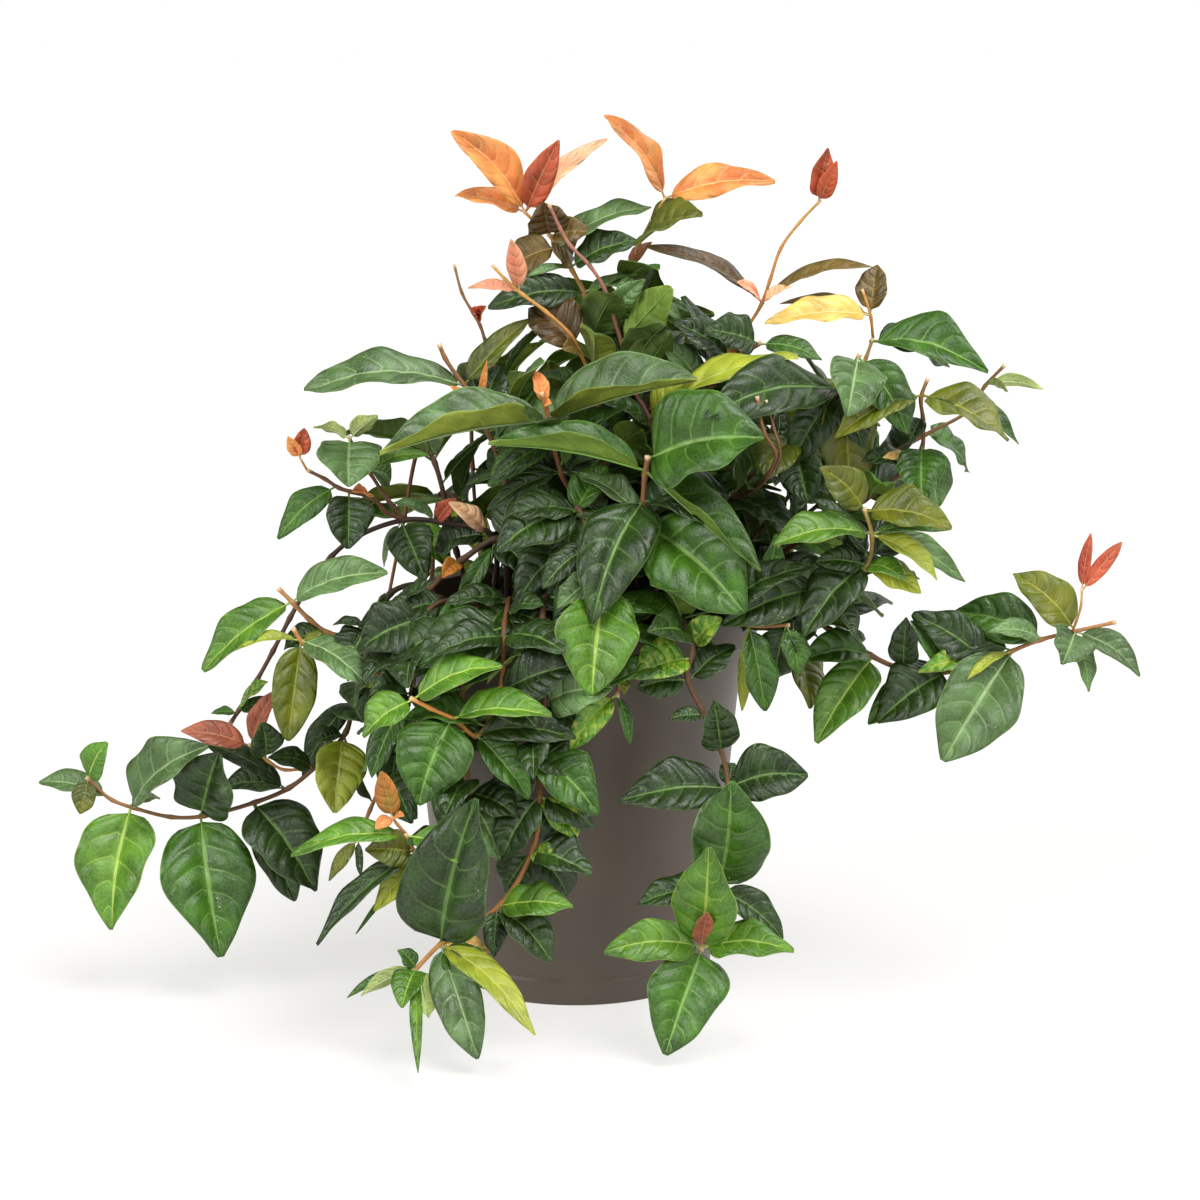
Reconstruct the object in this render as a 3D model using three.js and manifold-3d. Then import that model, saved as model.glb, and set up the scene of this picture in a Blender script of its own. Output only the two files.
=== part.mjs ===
// A young asiatic jasmine in its plain nursery pot.
// Millimetres, +Z up, with the origin at the middle of the pot's underside.
import * as THREE from 'three';
import { mergeVertices } from 'three/addons/utils/BufferGeometryUtils.js';
import Module from 'manifold-3d';

const wasm = await Module();
wasm.setup();

// Driving sizes of the pot and its soil.
const POT_HEIGHT = 188;
const POT_BASE_RADIUS = 67;
const POT_SHOULDER_RADIUS = 83.7;
const RIM_RADIUS = 90;
const RIM_OPENING_RADIUS = 84;
const RIM_DEPTH = 16;
const RIM_ROUNDING = 1.4;
const RIM_LEDGE = 4;
const POT_WALL = 2.2;
const POT_FLOOR = 3;
const FOOT_HEIGHT = 13;
const FOOT_STEP = 0.8;
const DRAIN_COUNT = 4;
const DRAIN_WIDTH = 15;
const DRAIN_HEIGHT = 7;
const DRAIN_REACH = 9;
const SOIL_LEVEL = 170;
const SOIL_GAP = 0.5;
const ROUND_SIDES = 32;

// Driving sizes of the plant.
const CLEARANCE = 0.3;
const ROOT_DEPTH = 16;
const STEM_COLLAR = 5;
const STEM_TAPER = 0.8;
const STEM_SIDES = 3;
const STEM_STEP = 44;
const BLADE_THICKNESS = 0.7;
const ROOT_SINK = 0.4;
const LEAF_STEP = 1.6;
const STEM_STUB = 1.4;
const TIP_STEP = 0.2;
const WIDE_LEAF = 26;
const SMALL_LEAF = 10;
const LEAF_ARCH = 0.07;
const LEAF_FOLD = 0.22;
const LEAST_SPREAD = 0.6;

// A blade's sections as its share of the length and of the full width.
const FINE_STATIONS = [[0.15, 0.62], [0.44, 1], [0.77, 0.62]];
const PLAIN_STATIONS = [[0.28, 0.92], [0.67, 0.78]];
const SMALL_STATIONS = [[0.42, 1]];
const LOWEST_LEAF = 1;
const WELD = 0.002;

// A leaf that would meet another moves its tip towards or away from the viewer, and rolls, by the first of
// these steps that is clear. Each pair is a move in mm and a change of roll.
const LEAF_SHIFTS = [
  [0, 0], [5, 0.1], [-5, 0], [10, 0.3], [-10, 0.2], [15, 0], [-15, 0], [20, 0.5], [-20, 0.3],
  [8, 1], [-8, 0.9], [26, 0], [-26, 0], [32, 0.6], [-32, 0.4], [13, -0.6], [-13, -0.6],
];

// The plant is measured as it is seen from the front: across and up are millimetres in the plane through the
// pot's axis, and near is how far in front of that plane a point lies. The eye is about 1.5 m away.
const EYE = new THREE.Vector3(12, -1406, 489);
const EYE_PITCH = THREE.MathUtils.degToRad(12.1);
const PLANE_DISTANCE = 1448.5;
const PLANE_ACROSS = 12;
const PLANE_UP = 180;
const SIGHT_FORWARD = new THREE.Vector3(0, Math.cos(EYE_PITCH), -Math.sin(EYE_PITCH));
const SIGHT_UP = new THREE.Vector3(0, Math.sin(EYE_PITCH), Math.cos(EYE_PITCH));

function seen(across, up, near) {
  const ray = new THREE.Vector3(across - PLANE_ACROSS, 0, 0)
    .addScaledVector(SIGHT_FORWARD, PLANE_DISTANCE)
    .addScaledVector(SIGHT_UP, up - PLANE_UP);
  return EYE.clone().addScaledVector(ray, (-near - EYE.y) / ray.y);
}

// Leafy stems. root is the place in the soil, thick and thin are the radii at its two ends, and each point of
// path is [across, up, near]. Each leaf is [path point it grows from, tip across, tip up, tip near, width,
// facing right, facing up, kind], and a pale one shows its underside.
const STEMS = [
  {
    name: 'stem_centre', root: [26, -34], thick: 2.1, thin: 1.5,
    path: [[31, 196, 60], [33, 216, 66], [33.5, 228, 67], [34.5, 243, 68], [36, 252, 70]],
    leaves: [
      [3, -44, 257.5, 78, 24, 0, 0.8, 'mid'],
      [3, 92, 194, 104, 24, 0.2, 0.8, 'mid'],
      [4, 94, 260, 88, 34, 0, 0.9, 'dark'],
      [2, 8, 168.5, 106, 33, -0.2, 0.2, 'dark'],
      [1, 84.5, 173.5, 104, 41, 0.1, 0.3, 'mid'],
      [2, 73, 213.5, 84, 14, 0, 0.5, 'dark'],
    ],
  },
  {
    name: 'stem_front', root: [2, -44], thick: 1.9, thin: 1.1,
    path: [
      [-4, 205, 60], [0.5, 226, 66], [8, 207.5, 78], [14, 188.5, 88], [19, 167.5, 95], [22, 147.5, 99],
      [20.5, 131.5, 101],
    ],
    leaves: [
      [3, 8, 132, 112, 36, 0, 0.2, 'bright'],
      [1, -39.5, 204.5, 86, 28, 0, 0.3, 'dark'],
      [2, -6, 156, 98, 19, -0.2, 0.1, 'mid'],
      [1, -34, 222.5, 78, 15, 0, 1.2, 'dark'],
      [6, -3, 104.5, 106, 14, 0.2, 0.3, 'mottled'],
      [6, 27, 108, 104, 6, 0.8, 0.2, 'mid'],
      [5, 24, 132.5, 108, 8, 0.3, 0.2, 'olive'],
      [1, -9.5, 186, 80, 16, 0, 0.3, 'dark'],
      [0, -30, 178, 72, 20, 0, 0.3, 'dark'],
    ],
  },
  {
    name: 'stem_right_drop', root: [42, -40], thick: 1.9, thin: 1.2,
    path: [
      [45, 180, 58], [52, 172, 76], [58, 160, 93], [58, 152.5, 97], [55.5, 141.5, 98], [63.5, 124, 100],
      [72.5, 105, 103], [76, 87.5, 106], [74, 60, 112], [71.5, 37.5, 118], [62.5, 4.5, 126],
    ],
    leaves: [
      [9, 77.5, 89.5, 130, 37, 0, 0.2, 'mid'],
      [10, 66.5, 56.5, 146, 31, -0.1, 0.4, 'bright'],
      [10, 14, 4, 140, 18, 0, 0.6, 'bright'],
      [10, 109, 4.5, 140, 18, 0, 0.6, 'bright'],
      [10, 44.5, -47.5, 150, 35, 0, 0.6, 'mid'],
      [10, 65.5, 24, 142, 10, 0, 0.1, 'pink'],
      [3, 30, 140.5, 108, 24, -0.2, 0.3, 'mottled'],
      [2, 73, 171, 100, 13, 0.2, 0.5, 'mottled'],
      [4, 79.5, 157, 106, 19, 0.2, 0.1, 'dark'],
      [4, 31, 136, 100, 18, 0, 0.1, 'dark'],
      [5, 46.5, 120, 104, 9, 0, 0.2, 'dark'],
      [6, 68.5, 130, 112, 19, 0, 0.1, 'dark'],
      [7, 22, 79.5, 116, 28, 0, 0.2, 'dark'],
      [7, 116, 92.5, 112, 25, 0.2, 0.4, 'dark'],
      [7, 78.5, 98.5, 96, 14, 0.2, 0.1, 'dark'],
      [9, 103.5, 10.5, 122, 14, 0.2, 0.6, 'dark'],
      [9, 30.5, 27.5, 118, 17, 0, 0.4, 'dark'],
    ],
  },
  {
    name: 'stem_front_left', root: [-30, -45], thick: 1.9, thin: 1.2,
    path: [
      [-33, 180, 60], [-35.5, 168, 82], [-38, 135, 99], [-49, 112, 104], [-60.5, 120, 107], [-73, 126, 106],
      [-83, 131, 104],
    ],
    leaves: [
      [4, -79, 77.5, 120, 34, 0, 0.2, 'mid'],
      [6, -37, 147, 114, 17, 0, 0.9, 'bright'],
      [4, -12, 122, 120, 17, 0, 0.9, 'bright'],
      [6, -106.5, 111.5, 112, 18, 0, 0.6, 'bright'],
      [3, -23.5, 80.5, 118, 19, 0.2, 0.3, 'mid'],
      [3, 0, 111, 112, 17, 0, 0.6, 'dark'],
      [1, -80.5, 146, 96, 30, 0, 0.6, 'dark'],
      [0, -87, 162, 78, 24, 0, 1.3, 'dark'],
      [2, -0.5, 147.5, 92, 26, 0, 0.5, 'dark'],
      [2, -20, 116, 102, 22, 0, 0.2, 'dark'],
    ],
  },
  {
    name: 'stem_front_low', root: [-12, -54], thick: 2, thin: 1.3,
    path: [
      [-14, 182, 68], [-17, 170, 90], [-15.5, 130, 99], [-23, 106, 102], [-18, 84, 106], [-21.5, 56, 113],
      [-38, 27.5, 121], [-66.5, 9, 129], [-81, -5.5, 133],
    ],
    leaves: [
      [7, -57, 62, 146, 43, -0.1, 0.3, 'mid'],
      [3, 11, 73, 118, 23, 0.1, 0.4, 'bright'],
      [6, -1.5, 26.5, 130, 20, 0, 0.4, 'bright'],
      [6, -12, -1, 132, 21, 0.2, 0.2, 'dark'],
      [7, -49, -49.5, 160, 22, 0, 0.2, 'dusty'],
      [7, -20.5, -37.5, 172, 12, 0.3, 1, 'lime'],
      [8, -87, -24, 156, 16, 0, 0.2, 'bright'],
      [8, -74, -29, 140, 18, 0.1, 0.2, 'pale'],
      [8, -107.5, -18, 142, 9, 0, 0.2, 'pale'],
      [8, -114.5, -19, 136, 5, 0, 0.5, 'mid'],
      [8, -79, -56.5, 182, 6, 0, 0.3, 'bright'],
      [8, -89, 5, 134, 8, 0, 1, 'mid'],
      [4, -36.5, 52, 116, 24, -0.2, 0.4, 'dark'],
      [4, 0.5, 61, 114, 16, 0.3, 0.2, 'mottled'],
      [5, -9, 47, 120, 11, 0, 0.2, 'mottled'],
      [6, -41, 1.5, 130, 12, 0, 0.1, 'dark'],
      [7, -43, 4, 124, 10, 0, 0.2, 'yellow'],
      [2, 18.5, 136, 110, 22, 0, 0.3, 'dusty'],
      [2, 5, 112, 106, 20, 0, 0.2, 'dark'],
      [3, -4, 92, 110, 20, 0, 0.2, 'dark'],
    ],
  },
  {
    name: 'stem_low_left', root: [-42, -45], thick: 1.9, thin: 1.1,
    path: [
      [-46, 179, 62], [-53, 168, 81], [-57, 120, 91], [-54, 85, 99], [-60.5, 56, 110], [-73, 49, 117],
      [-79.5, 52.5, 120], [-85.5, 63.5, 122],
    ],
    leaves: [
      [7, -43.5, 43.5, 156, 13, 0, 0.6, 'bright'],
      [7, -142.5, 51.5, 130, 15, 0, 0.6, 'bright'],
      [6, -105.5, 55, 126, 17, 0, 0.2, 'olive'],
      [6, -129.5, 7.5, 136, 12, 0, 0.7, 'dark'],
      [5, -101, 24.5, 128, 13, 0, 0.3, 'lime'],
      [5, -110, 13, 124, 4, 0, 0.5, 'mid'],
      [3, -68, 67, 108, 24, -0.2, 0.2, 'dusty'],
      [3, -38, 50, 112, 26, 0.2, 0.2, 'dusty'],
      [2, -38, 104, 98, 22, 0, 0.2, 'dark'],
      [3, -30, 72, 108, 22, 0, 0.2, 'dark'],
    ],
  },
  {
    name: 'stem_left_hang', root: [-51, -33], thick: 1.8, thin: 1.1,
    path: [
      [-62, 179, 50], [-75, 173, 64], [-82, 135, 74], [-88, 112.5, 80], [-94, 96, 85], [-103, 75, 89],
      [-109.5, 59, 91],
    ],
    leaves: [
      [2, -102, 91, 90, 15, -0.2, 0.2, 'mid'],
      [3, -94, 82, 96, 18, 0.2, 0.2, 'dark'],
      [6, -123.5, 39.5, 96, 7, 0, 0.2, 'olive'],
      [6, -107.5, 41.5, 94, 4, 0, 0.1, 'dark'],
    ],
  },
  {
    name: 'stem_left_runner', root: [-60, -4], thick: 2, thin: 1.1,
    path: [
      [-76, 187, 6], [-93, 183, 8], [-101, 160, 8], [-111, 132.5, 16], [-115, 114, 26], [-130, 97, 30],
      [-143.5, 86, 31], [-160, 79, 32], [-186, 72, 34], [-202.5, 71.5, 34], [-221, 76, 34], [-232, 80, 33],
      [-239.5, 86, 32], [-245, 91.5, 32],
    ],
    leaves: [
      [8, -177.5, 1.5, 62, 45, 0, 0.1, 'mid'],
      [10, -232, 15, 60, 38, 0, 0.1, 'bright'],
      [7, -130.5, 34, 52, 37, 0.2, 0.1, 'dark'],
      [10, -184, 107, 50, 24, -0.2, 0.2, 'dusty'],
      [8, -178.5, 104, 46, 34, 0, 0.2, 'dark'],
      [4, -120.5, 73.5, 42, 24, 0, 0.1, 'lime'],
      [11, -268.5, 89, 22, 12, 0, 0.3, 'dusty'],
      [13, -234.5, 109, 40, 17, 0, 0.1, 'bright'],
      [13, -248, 73, 40, 13, 0, 0.1, 'olive'],
      [7, -140.5, 29.5, 38, 20, 0, 0.1, 'dark'],
      [3, -136.5, 91, 28, 14, 0.3, 0.4, 'dark'],
      [4, -129, 109, 36, 9, 0, 0.2, 'dark'],
      [5, -154, 101, 40, 12, 0, 0.8, 'dark'],
      [6, -177, 86.5, 44, 15, 0, 0.6, 'dark'],
      [6, -186, 108.5, 30, 12, 0, 0.8, 'dark'],
      [10, -208, 81, 20, 9, 0, 0.5, 'dusty'],
    ],
  },
  {
    name: 'stem_left_node', root: [-42, 8], thick: 1.9, thin: 1.3,
    path: [
      [-42, 212, 8], [-68, 219, 6], [-86, 220, 5], [-109, 212, 5], [-122.5, 201.5, 8], [-135.5, 184, 12],
      [-143, 171, 14], [-151.5, 154.5, 16], [-159.5, 140, 18], [-168.5, 125, 20], [-173, 118, 20],
    ],
    leaves: [
      [2, -75, 189.5, 22, 21, 0.1, 0.2, 'dark'],
      [2, -96, 196.5, -6, 6, -0.3, 0.2, 'dusty'],
      [9, -154, 139, 30, 9, 0, 0.9, 'mottled'],
      [9, -182.5, 123, 24, 6, 0, 0.5, 'mid'],
      [9, -149.5, 130, 24, 7, 0.2, 0.2, 'mid'],
      [1, -92, 228.5, -8, 8, 0, 1, 'dusty'],
      [0, -71, 203.5, 2, 22, 0, 0.4, 'dark'],
    ],
    branches: [
      {
        from: 2,
        path: [[-94, 230, 8], [-103, 243.5, 10], [-110, 255, 12], [-114, 262, 12]],
        leaves: [
          [3, -113.5, 236.5, 30, 31, 0, 0.1, 'dusty'],
          [3, -99, 272, 14, 11, 0.4, 0.6, 'pale'],
          [3, -131.5, 266, 12, 8, 0, 0.8, 'pale'],
          [1, -73.5, 252.5, 18, 9, 0, 0.6, 'bright'],
          [1, -92.5, 240, 0, 16, 0.3, 0.2, 'dusty'],
        ],
      },
      {
        from: 2,
        path: [
          [-95, 224, 10], [-101, 230.5, 14], [-112, 234, 17], [-118.5, 236, 18], [-125.5, 240.5, 18],
          [-134.5, 245, 18],
        ],
        leaves: [
          [3, -149, 210.5, 30, 15, 0, 0.3, 'mid'],
          [2, -114, 205.5, 36, 23, 0, 0.1, 'dark'],
          [1, -112, 234.5, 26, 6, 0, 0.6, 'orange'],
        ],
      },
    ],
  },
  {
    name: 'stem_over_rim', root: [-33, -16], thick: 2.3, thin: 1.3,
    path: [
      [-38, 210, 26], [-57, 200, 27], [-73, 186, 35], [-88, 175, 48], [-103, 166, 46], [-114.5, 162.5, 41],
      [-124, 163.5, 38], [-133, 170, 37], [-141, 178, 36], [-149, 186, 35],
    ],
    leaves: [
      [8, -186.5, 144.5, 50, 21, 0, 0.4, 'bright'],
      [8, -94, 193.5, 48, 16, 0, 0.5, 'dusty'],
      [3, -71, 189, 50, 10, 0, 0.6, 'dark'],
      [4, -121.5, 167.5, 52, 7, 0, 0.8, 'dark'],
      [4, -113, 150, 58, 22, 0, 0.5, 'dark'],
      [4, -82, 157.5, 64, 14, 0, 0.4, 'dark'],
      [0, -20, 188, 44, 20, 0, 0.3, 'dark'],
      [0, -59, 169, 42, 10, 0, 0.4, 'mid'],
      [6, -146, 155, 46, 15, 0, 0.4, 'dark'],
    ],
  },
  {
    name: 'stem_left_tip', root: [-57, -19], thick: 1.8, thin: 1.2,
    path: [
      [-68, 181, 34], [-81, 175, 54], [-85, 146, 61], [-89, 141.5, 61], [-95.5, 141, 59], [-103, 144.5, 57],
      [-118, 152, 52], [-129, 156.5, 50], [-136.5, 158.5, 48], [-141.5, 166, 48],
    ],
    leaves: [
      [8, -144, 109.5, 62, 23, 0, 0.1, 'olive'],
      [8, -104, 137, 70, 19, 0, 0.5, 'dusty'],
      [8, -169, 155.5, 52, 6, 0, 1.2, 'lime'],
      [8, -122, 160, 44, 7, 0, 0.5, 'olive'],
    ],
  },
  {
    name: 'stem_upper_left', root: [-8, -20], thick: 2, thin: 1.3,
    path: [
      [0.5, 225, 30], [-7, 242.5, 33], [-11.5, 257.5, 35], [-13.5, 268, 36], [-15, 276, 36], [-17.5, 284, 36],
    ],
    leaves: [
      [3, -98, 252.5, 62, 30, 0, 1, 'mid'],
      [3, 60.5, 289.5, 66, 30, 0, 1, 'mid'],
      [2, -42.5, 239, 54, 10, 0, 0.5, 'dark'],
      [1, -55, 237.5, 46, 9, 0, 0.3, 'dark'],
      [2, -44, 237, 38, 15, 0, 0.2, 'mid'],
      [1, -44.5, 225, 42, 11, 0, 0.2, 'dark'],
      [1, 22, 233.5, 48, 14, 0, 0.5, 'dark'],
      [4, -20.5, 294.5, 28, 8, 0, 0.2, 'orange'],
      [4, -12, 278.5, 40, 4, 0, 0.2, 'orange'],
    ],
  },
  {
    name: 'stem_crown_left', root: [-3, 5], thick: 2, thin: 1.2,
    path: [
      [14, 240, 6], [11, 275, 4], [8, 305, 2], [7, 320, 0], [4.5, 332.5, -2], [-2, 345, -4], [-8, 355, -4],
      [-14, 363.5, -4],
    ],
    leaves: [
      [4, -44, 325.5, 14, 17, 0, 0.6, 'dark'],
      [5, 30.5, 360, 4, 17, 0, 0.5, 'mid'],
      [5, -24, 342, 6, 5, 0, 0.6, 'dusty'],
      [6, -33.5, 343, -18, 13, 0.2, 0.3, 'olive'],
      [6, 37.5, 376.5, -20, 12, 0, 0.8, 'dark'],
      [7, -16.5, 379, 6, 20, 0.1, 0.1, 'brown'],
      [7, 8, 364, -12, 8, 0, 0.3, 'bronze'],
      [4, 32, 337, 6, 10, 0, 0.8, 'dusty'],
    ],
  },
  {
    name: 'stem_bare', root: [15, -9], thick: 2, thin: 0.9,
    path: [
      [41, 232, 30], [37, 269, 22], [30, 284, 18], [24, 303.5, 16], [19, 321.5, 14], [14, 336, 12],
      [7, 347, 10], [-3, 357.5, 8], [-8, 366, 8], [-13.5, 378, 10],
    ],
    leaves: [
      [1, 111, 301.5, 52, 17, 0, 0.9, 'lime'],
      [1, 59, 292, 34, 10, 0, 0.6, 'lime'],
    ],
  },
  {
    name: 'stem_thin_left', root: [-26, 8], thick: 1.5, thin: 0.8,
    path: [
      [-23, 250, 2], [-34, 282.5, 4], [-40.5, 297.5, 4], [-45.5, 310, 4], [-48, 317.5, 4], [-51.5, 323.5, 4],
      [-57, 333.5, 4], [-61, 348, 4],
    ],
    leaves: [[4, -45, 327, 12, 7, -0.3, 0.2, 'red'], [4, -53, 326, 14, 6, 0.3, 0.2, 'red']],
  },
  {
    name: 'stem_left_high', root: [-23, -30], thick: 1.9, thin: 1.2,
    path: [
      [-35.5, 240, 18], [-47, 270, 22], [-55, 286, 24], [-59.5, 292, 24], [-65.5, 301, 24], [-68.5, 308, 24],
    ],
    leaves: [
      [2, -136, 284, 46, 24, 0, 0.7, 'dusty'],
      [2, -21.5, 321.5, 10, 14, 0, 0.6, 'olive'],
      [1, -38, 297, 12, 22, 0.1, 0.2, 'dark'],
      [1, -63, 287, 36, 6, 0, 0.6, 'orange'],
      [1, -44.5, 300, 30, 4, 0, 0.2, 'orange'],
    ],
  },
  {
    name: 'stem_orange_pair', root: [8, 20], thick: 1.8, thin: 1,
    path: [
      [23, 245, -10], [16, 280, -12], [13, 310, -14], [18.5, 329, -14], [25.5, 345, -14], [31.5, 358, -14],
      [38, 370, -14],
    ],
    leaves: [[5, 63.5, 372, 2, 19, 0, 0.4, 'olive'], [4, 38, 359, -6, 7, 0.2, 0.1, 'pink']],
  },
  {
    name: 'stem_crown_right', root: [28, 8], thick: 1.8, thin: 1.2,
    path: [[68, 260, 0], [79.5, 295, -4], [85.5, 316, -5]],
    leaves: [[1, 131, 262, -28, 22, 0.3, 0.6, 'dark'], [1, 74, 322, -26, 16, 0, 0.6, 'mid']],
  },
  {
    name: 'stem_yellow', root: [46, 12], thick: 1.9, thin: 1,
    path: [[97, 220, 0], [124.5, 260, 2], [139.5, 287.5, 4], [145, 301, 5], [148.5, 311, 5]],
    leaves: [
      [4, 206, 293.5, 30, 24, 0, 0.8, 'mid'],
      [4, 186, 296, -8, 22, 0, 0.6, 'dark'],
      [2, 96, 250, 20, 22, 0, 0.3, 'olive'],
      [1, 116, 232, 20, 22, 0, 0.3, 'dark'],
    ],
  },
  {
    name: 'stem_right_high', root: [54, -6], thick: 2, thin: 1.1,
    path: [
      [112, 210, 30], [144.5, 230, 36], [167, 247.5, 40], [173, 256, 41], [173.5, 270, 42], [172.5, 281, 43],
      [176, 291, 43],
    ],
    leaves: [
      [5, 216, 259.5, 66, 27, 0, 0.7, 'olive'],
      [5, 129.5, 261, 64, 17, 0, 0.7, 'olive'],
      [3, 173, 226.5, 62, 23, 0, 0.2, 'mid'],
      [3, 181, 226.5, 46, 20, 0.2, 0.1, 'dusty'],
      [4, 167, 259, 50, 9, 0, 0.3, 'dark'],
      [5, 221.5, 258, 44, 12, 0, 0.8, 'mid'],
      [2, 143.5, 250, 46, 12, 0, 0.3, 'dark'],
      [2, 153.5, 251, 52, 6, 0, 0.3, 'yellow'],
    ],
  },
  {
    name: 'stem_right_mid', root: [52, -30], thick: 2, thin: 1.2,
    path: [[92, 185, 62], [122, 185, 72], [144.5, 196, 78], [148, 211.5, 80], [144, 226, 80]],
    leaves: [
      [4, 122, 246.5, 88, 18, 0, 0.2, 'olive'],
      [4, 188, 216, 96, 17, 0, 0.9, 'olive'],
      [3, 98.5, 207.5, 100, 20, 0, 0.5, 'bright'],
      [2, 114, 162, 98, 26, 0, 0.2, 'dark'],
      [1, 73, 167.5, 98, 22, 0, 0.4, 'dark'],
      [3, 187, 215, 84, 9, 0, 0.6, 'bright'],
      [3, 180.5, 190, 90, 13, 0, 0.6, 'lime'],
      [3, 194.5, 189, 72, 12, 0.2, 0.5, 'dusty'],
      [2, 164, 190, 96, 15, 0, 0.5, 'bright'],
      [2, 172.5, 183.5, 84, 13, 0, 0.5, 'lime'],
      [2, 120, 199, 84, 13, 0, 0.5, 'dark'],
      [0, 83, 197, 70, 16, 0, 0.4, 'dark'],
    ],
  },
  {
    name: 'stem_right_twig', root: [58, 18], thick: 1.7, thin: 1,
    path: [[137, 240, -8], [174.5, 262.5, -6], [197, 275, -4], [204.5, 287, -2], [214.5, 297.5, -2]],
    leaves: [
      [3, 216, 284, 8, 6, 0, 0.6, 'pale'],
      [3, 233.5, 285, -6, 7, 0, 0.6, 'pale'],
      [1, 152, 238, -34, 20, 0, 0.8, 'dark'],
      [1, 196, 244, -28, 18, 0, 0.8, 'mid'],
    ],
  },
  {
    name: 'stem_right_runner', root: [62, -17], thick: 2.1, thin: 1.2,
    path: [
      [97, 186, 40], [127, 165, 48], [147, 152.5, 50], [162, 146, 50], [184.5, 144, 49], [204.5, 148, 48],
      [217, 154, 47], [232, 160, 46], [248, 164, 45], [270, 169, 44],
    ],
    leaves: [
      [6, 183.5, 99.5, 66, 38, 0, 0.1, 'dusty'],
      [4, 150.5, 119, 66, 29, 0, 0.1, 'dark'],
      [2, 120, 108.5, 76, 26, 0, 0.1, 'bright'],
      [2, 113.5, 150, 74, 17, 0, 0.5, 'mid'],
      [8, 218.5, 193, 36, 23, 0, 0.2, 'olive'],
      [5, 168, 173, 44, 17, 0, 0.6, 'mid'],
      [8, 243, 147.5, 60, 17, 0, 0.2, 'dusty'],
      [8, 282, 142, 52, 14, 0, 0.5, 'dusty'],
      [8, 256, 134, 52, 11, 0.2, 0.2, 'dusty'],
      [5, 171, 144, 64, 12, 0, 0.4, 'mottled'],
      [7, 206, 164, 56, 12, 0, 0.4, 'dusty'],
      [6, 195.5, 140, 62, 6, 0, 0.4, 'lime'],
      [4, 146, 118, 44, 18, 0, 0.2, 'mid'],
      [4, 167, 169.5, 58, 16, 0, 0.3, 'mid'],
      [3, 165, 171.5, 66, 15, 0, 0.3, 'dark'],
      [5, 179.5, 162.5, 40, 12, 0, 0.5, 'dark'],
    ],
  },
  {
    name: 'stem_right_short', root: [24, -55], thick: 1.7, thin: 1.1,
    path: [[48, 190, 84], [84.5, 168, 91], [107, 167.5, 91]],
    leaves: [
      [1, 94.5, 124.5, 94, 16, 0.2, 0.1, 'mid'],
      [1, 83, 124.5, 82, 7, 0, 0.2, 'lime'],
      [2, 99.5, 141, 88, 20, 0, 0.2, 'dark'],
      [2, 111, 142, 94, 13, 0, 0.2, 'mid'],
    ],
  },
  {
    name: 'stem_right_inner', root: [39, -20], thick: 1.9, thin: 1.2,
    path: [[77, 230, 28], [107, 260, 40], [131, 283.5, 44], [142, 303, 44]],
    leaves: [
      [2, 64, 271, 72, 27, 0, 0.6, 'dark'],
      [3, 135.5, 271.5, 68, 26, 0, 0.1, 'dusty'],
      [1, 116, 228.5, 60, 24, 0, 0.2, 'dark'],
      [1, 94.5, 241, 70, 20, 0, 0.6, 'bright'],
      [2, 128.5, 240, 40, 26, 0, 0.2, 'dusty'],
      [2, 143.5, 256, 54, 17, 0, 0.3, 'dark'],
      [0, 40, 236, 50, 20, 0, 0.4, 'dark'],
      [0, 108, 214, 56, 22, 0.2, 0.4, 'dark'],
    ],
  },
  {
    name: 'stem_top_middle', root: [24, -21], thick: 1.8, thin: 1.2,
    path: [[57, 250, 14], [64.5, 280, 16], [77, 297.5, 18], [93, 309, 18]],
    leaves: [
      [3, 64, 315, 28, 20, 0, 0.4, 'dark'],
      [3, 123, 300, 28, 12, 0, 0.8, 'mid'],
      [2, 48.5, 318.5, 24, 18, 0, 0.3, 'dark'],
      [2, 76, 315, 28, 5, 0, 0.2, 'orange'],
      [1, 42, 310, 22, 15, 0, 0.4, 'dusty'],
      [1, 102, 268, 18, 22, 0, 0.4, 'dark'],
    ],
  },
  {
    name: 'stem_top_inner', root: [7, -8], thick: 1.8, thin: 1.1,
    path: [[39.5, 255, -2], [34.5, 280, -3], [32, 297, -3], [29, 315, -5], [27.5, 333, -7]],
    leaves: [
      [2, 27, 331, 8, 21, 0, 0.1, 'mid'],
      [4, 54, 319, 6, 8, 0, 0.8, 'dusty'],
      [4, 58, 323, -12, 9, 0, 0.8, 'mid'],
      [2, 25, 310, 12, 7, -0.2, 0.1, 'pink'],
      [2, 35.5, 309, 12, 8, 0.2, 0.1, 'pink'],
    ],
  },
];

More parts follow.
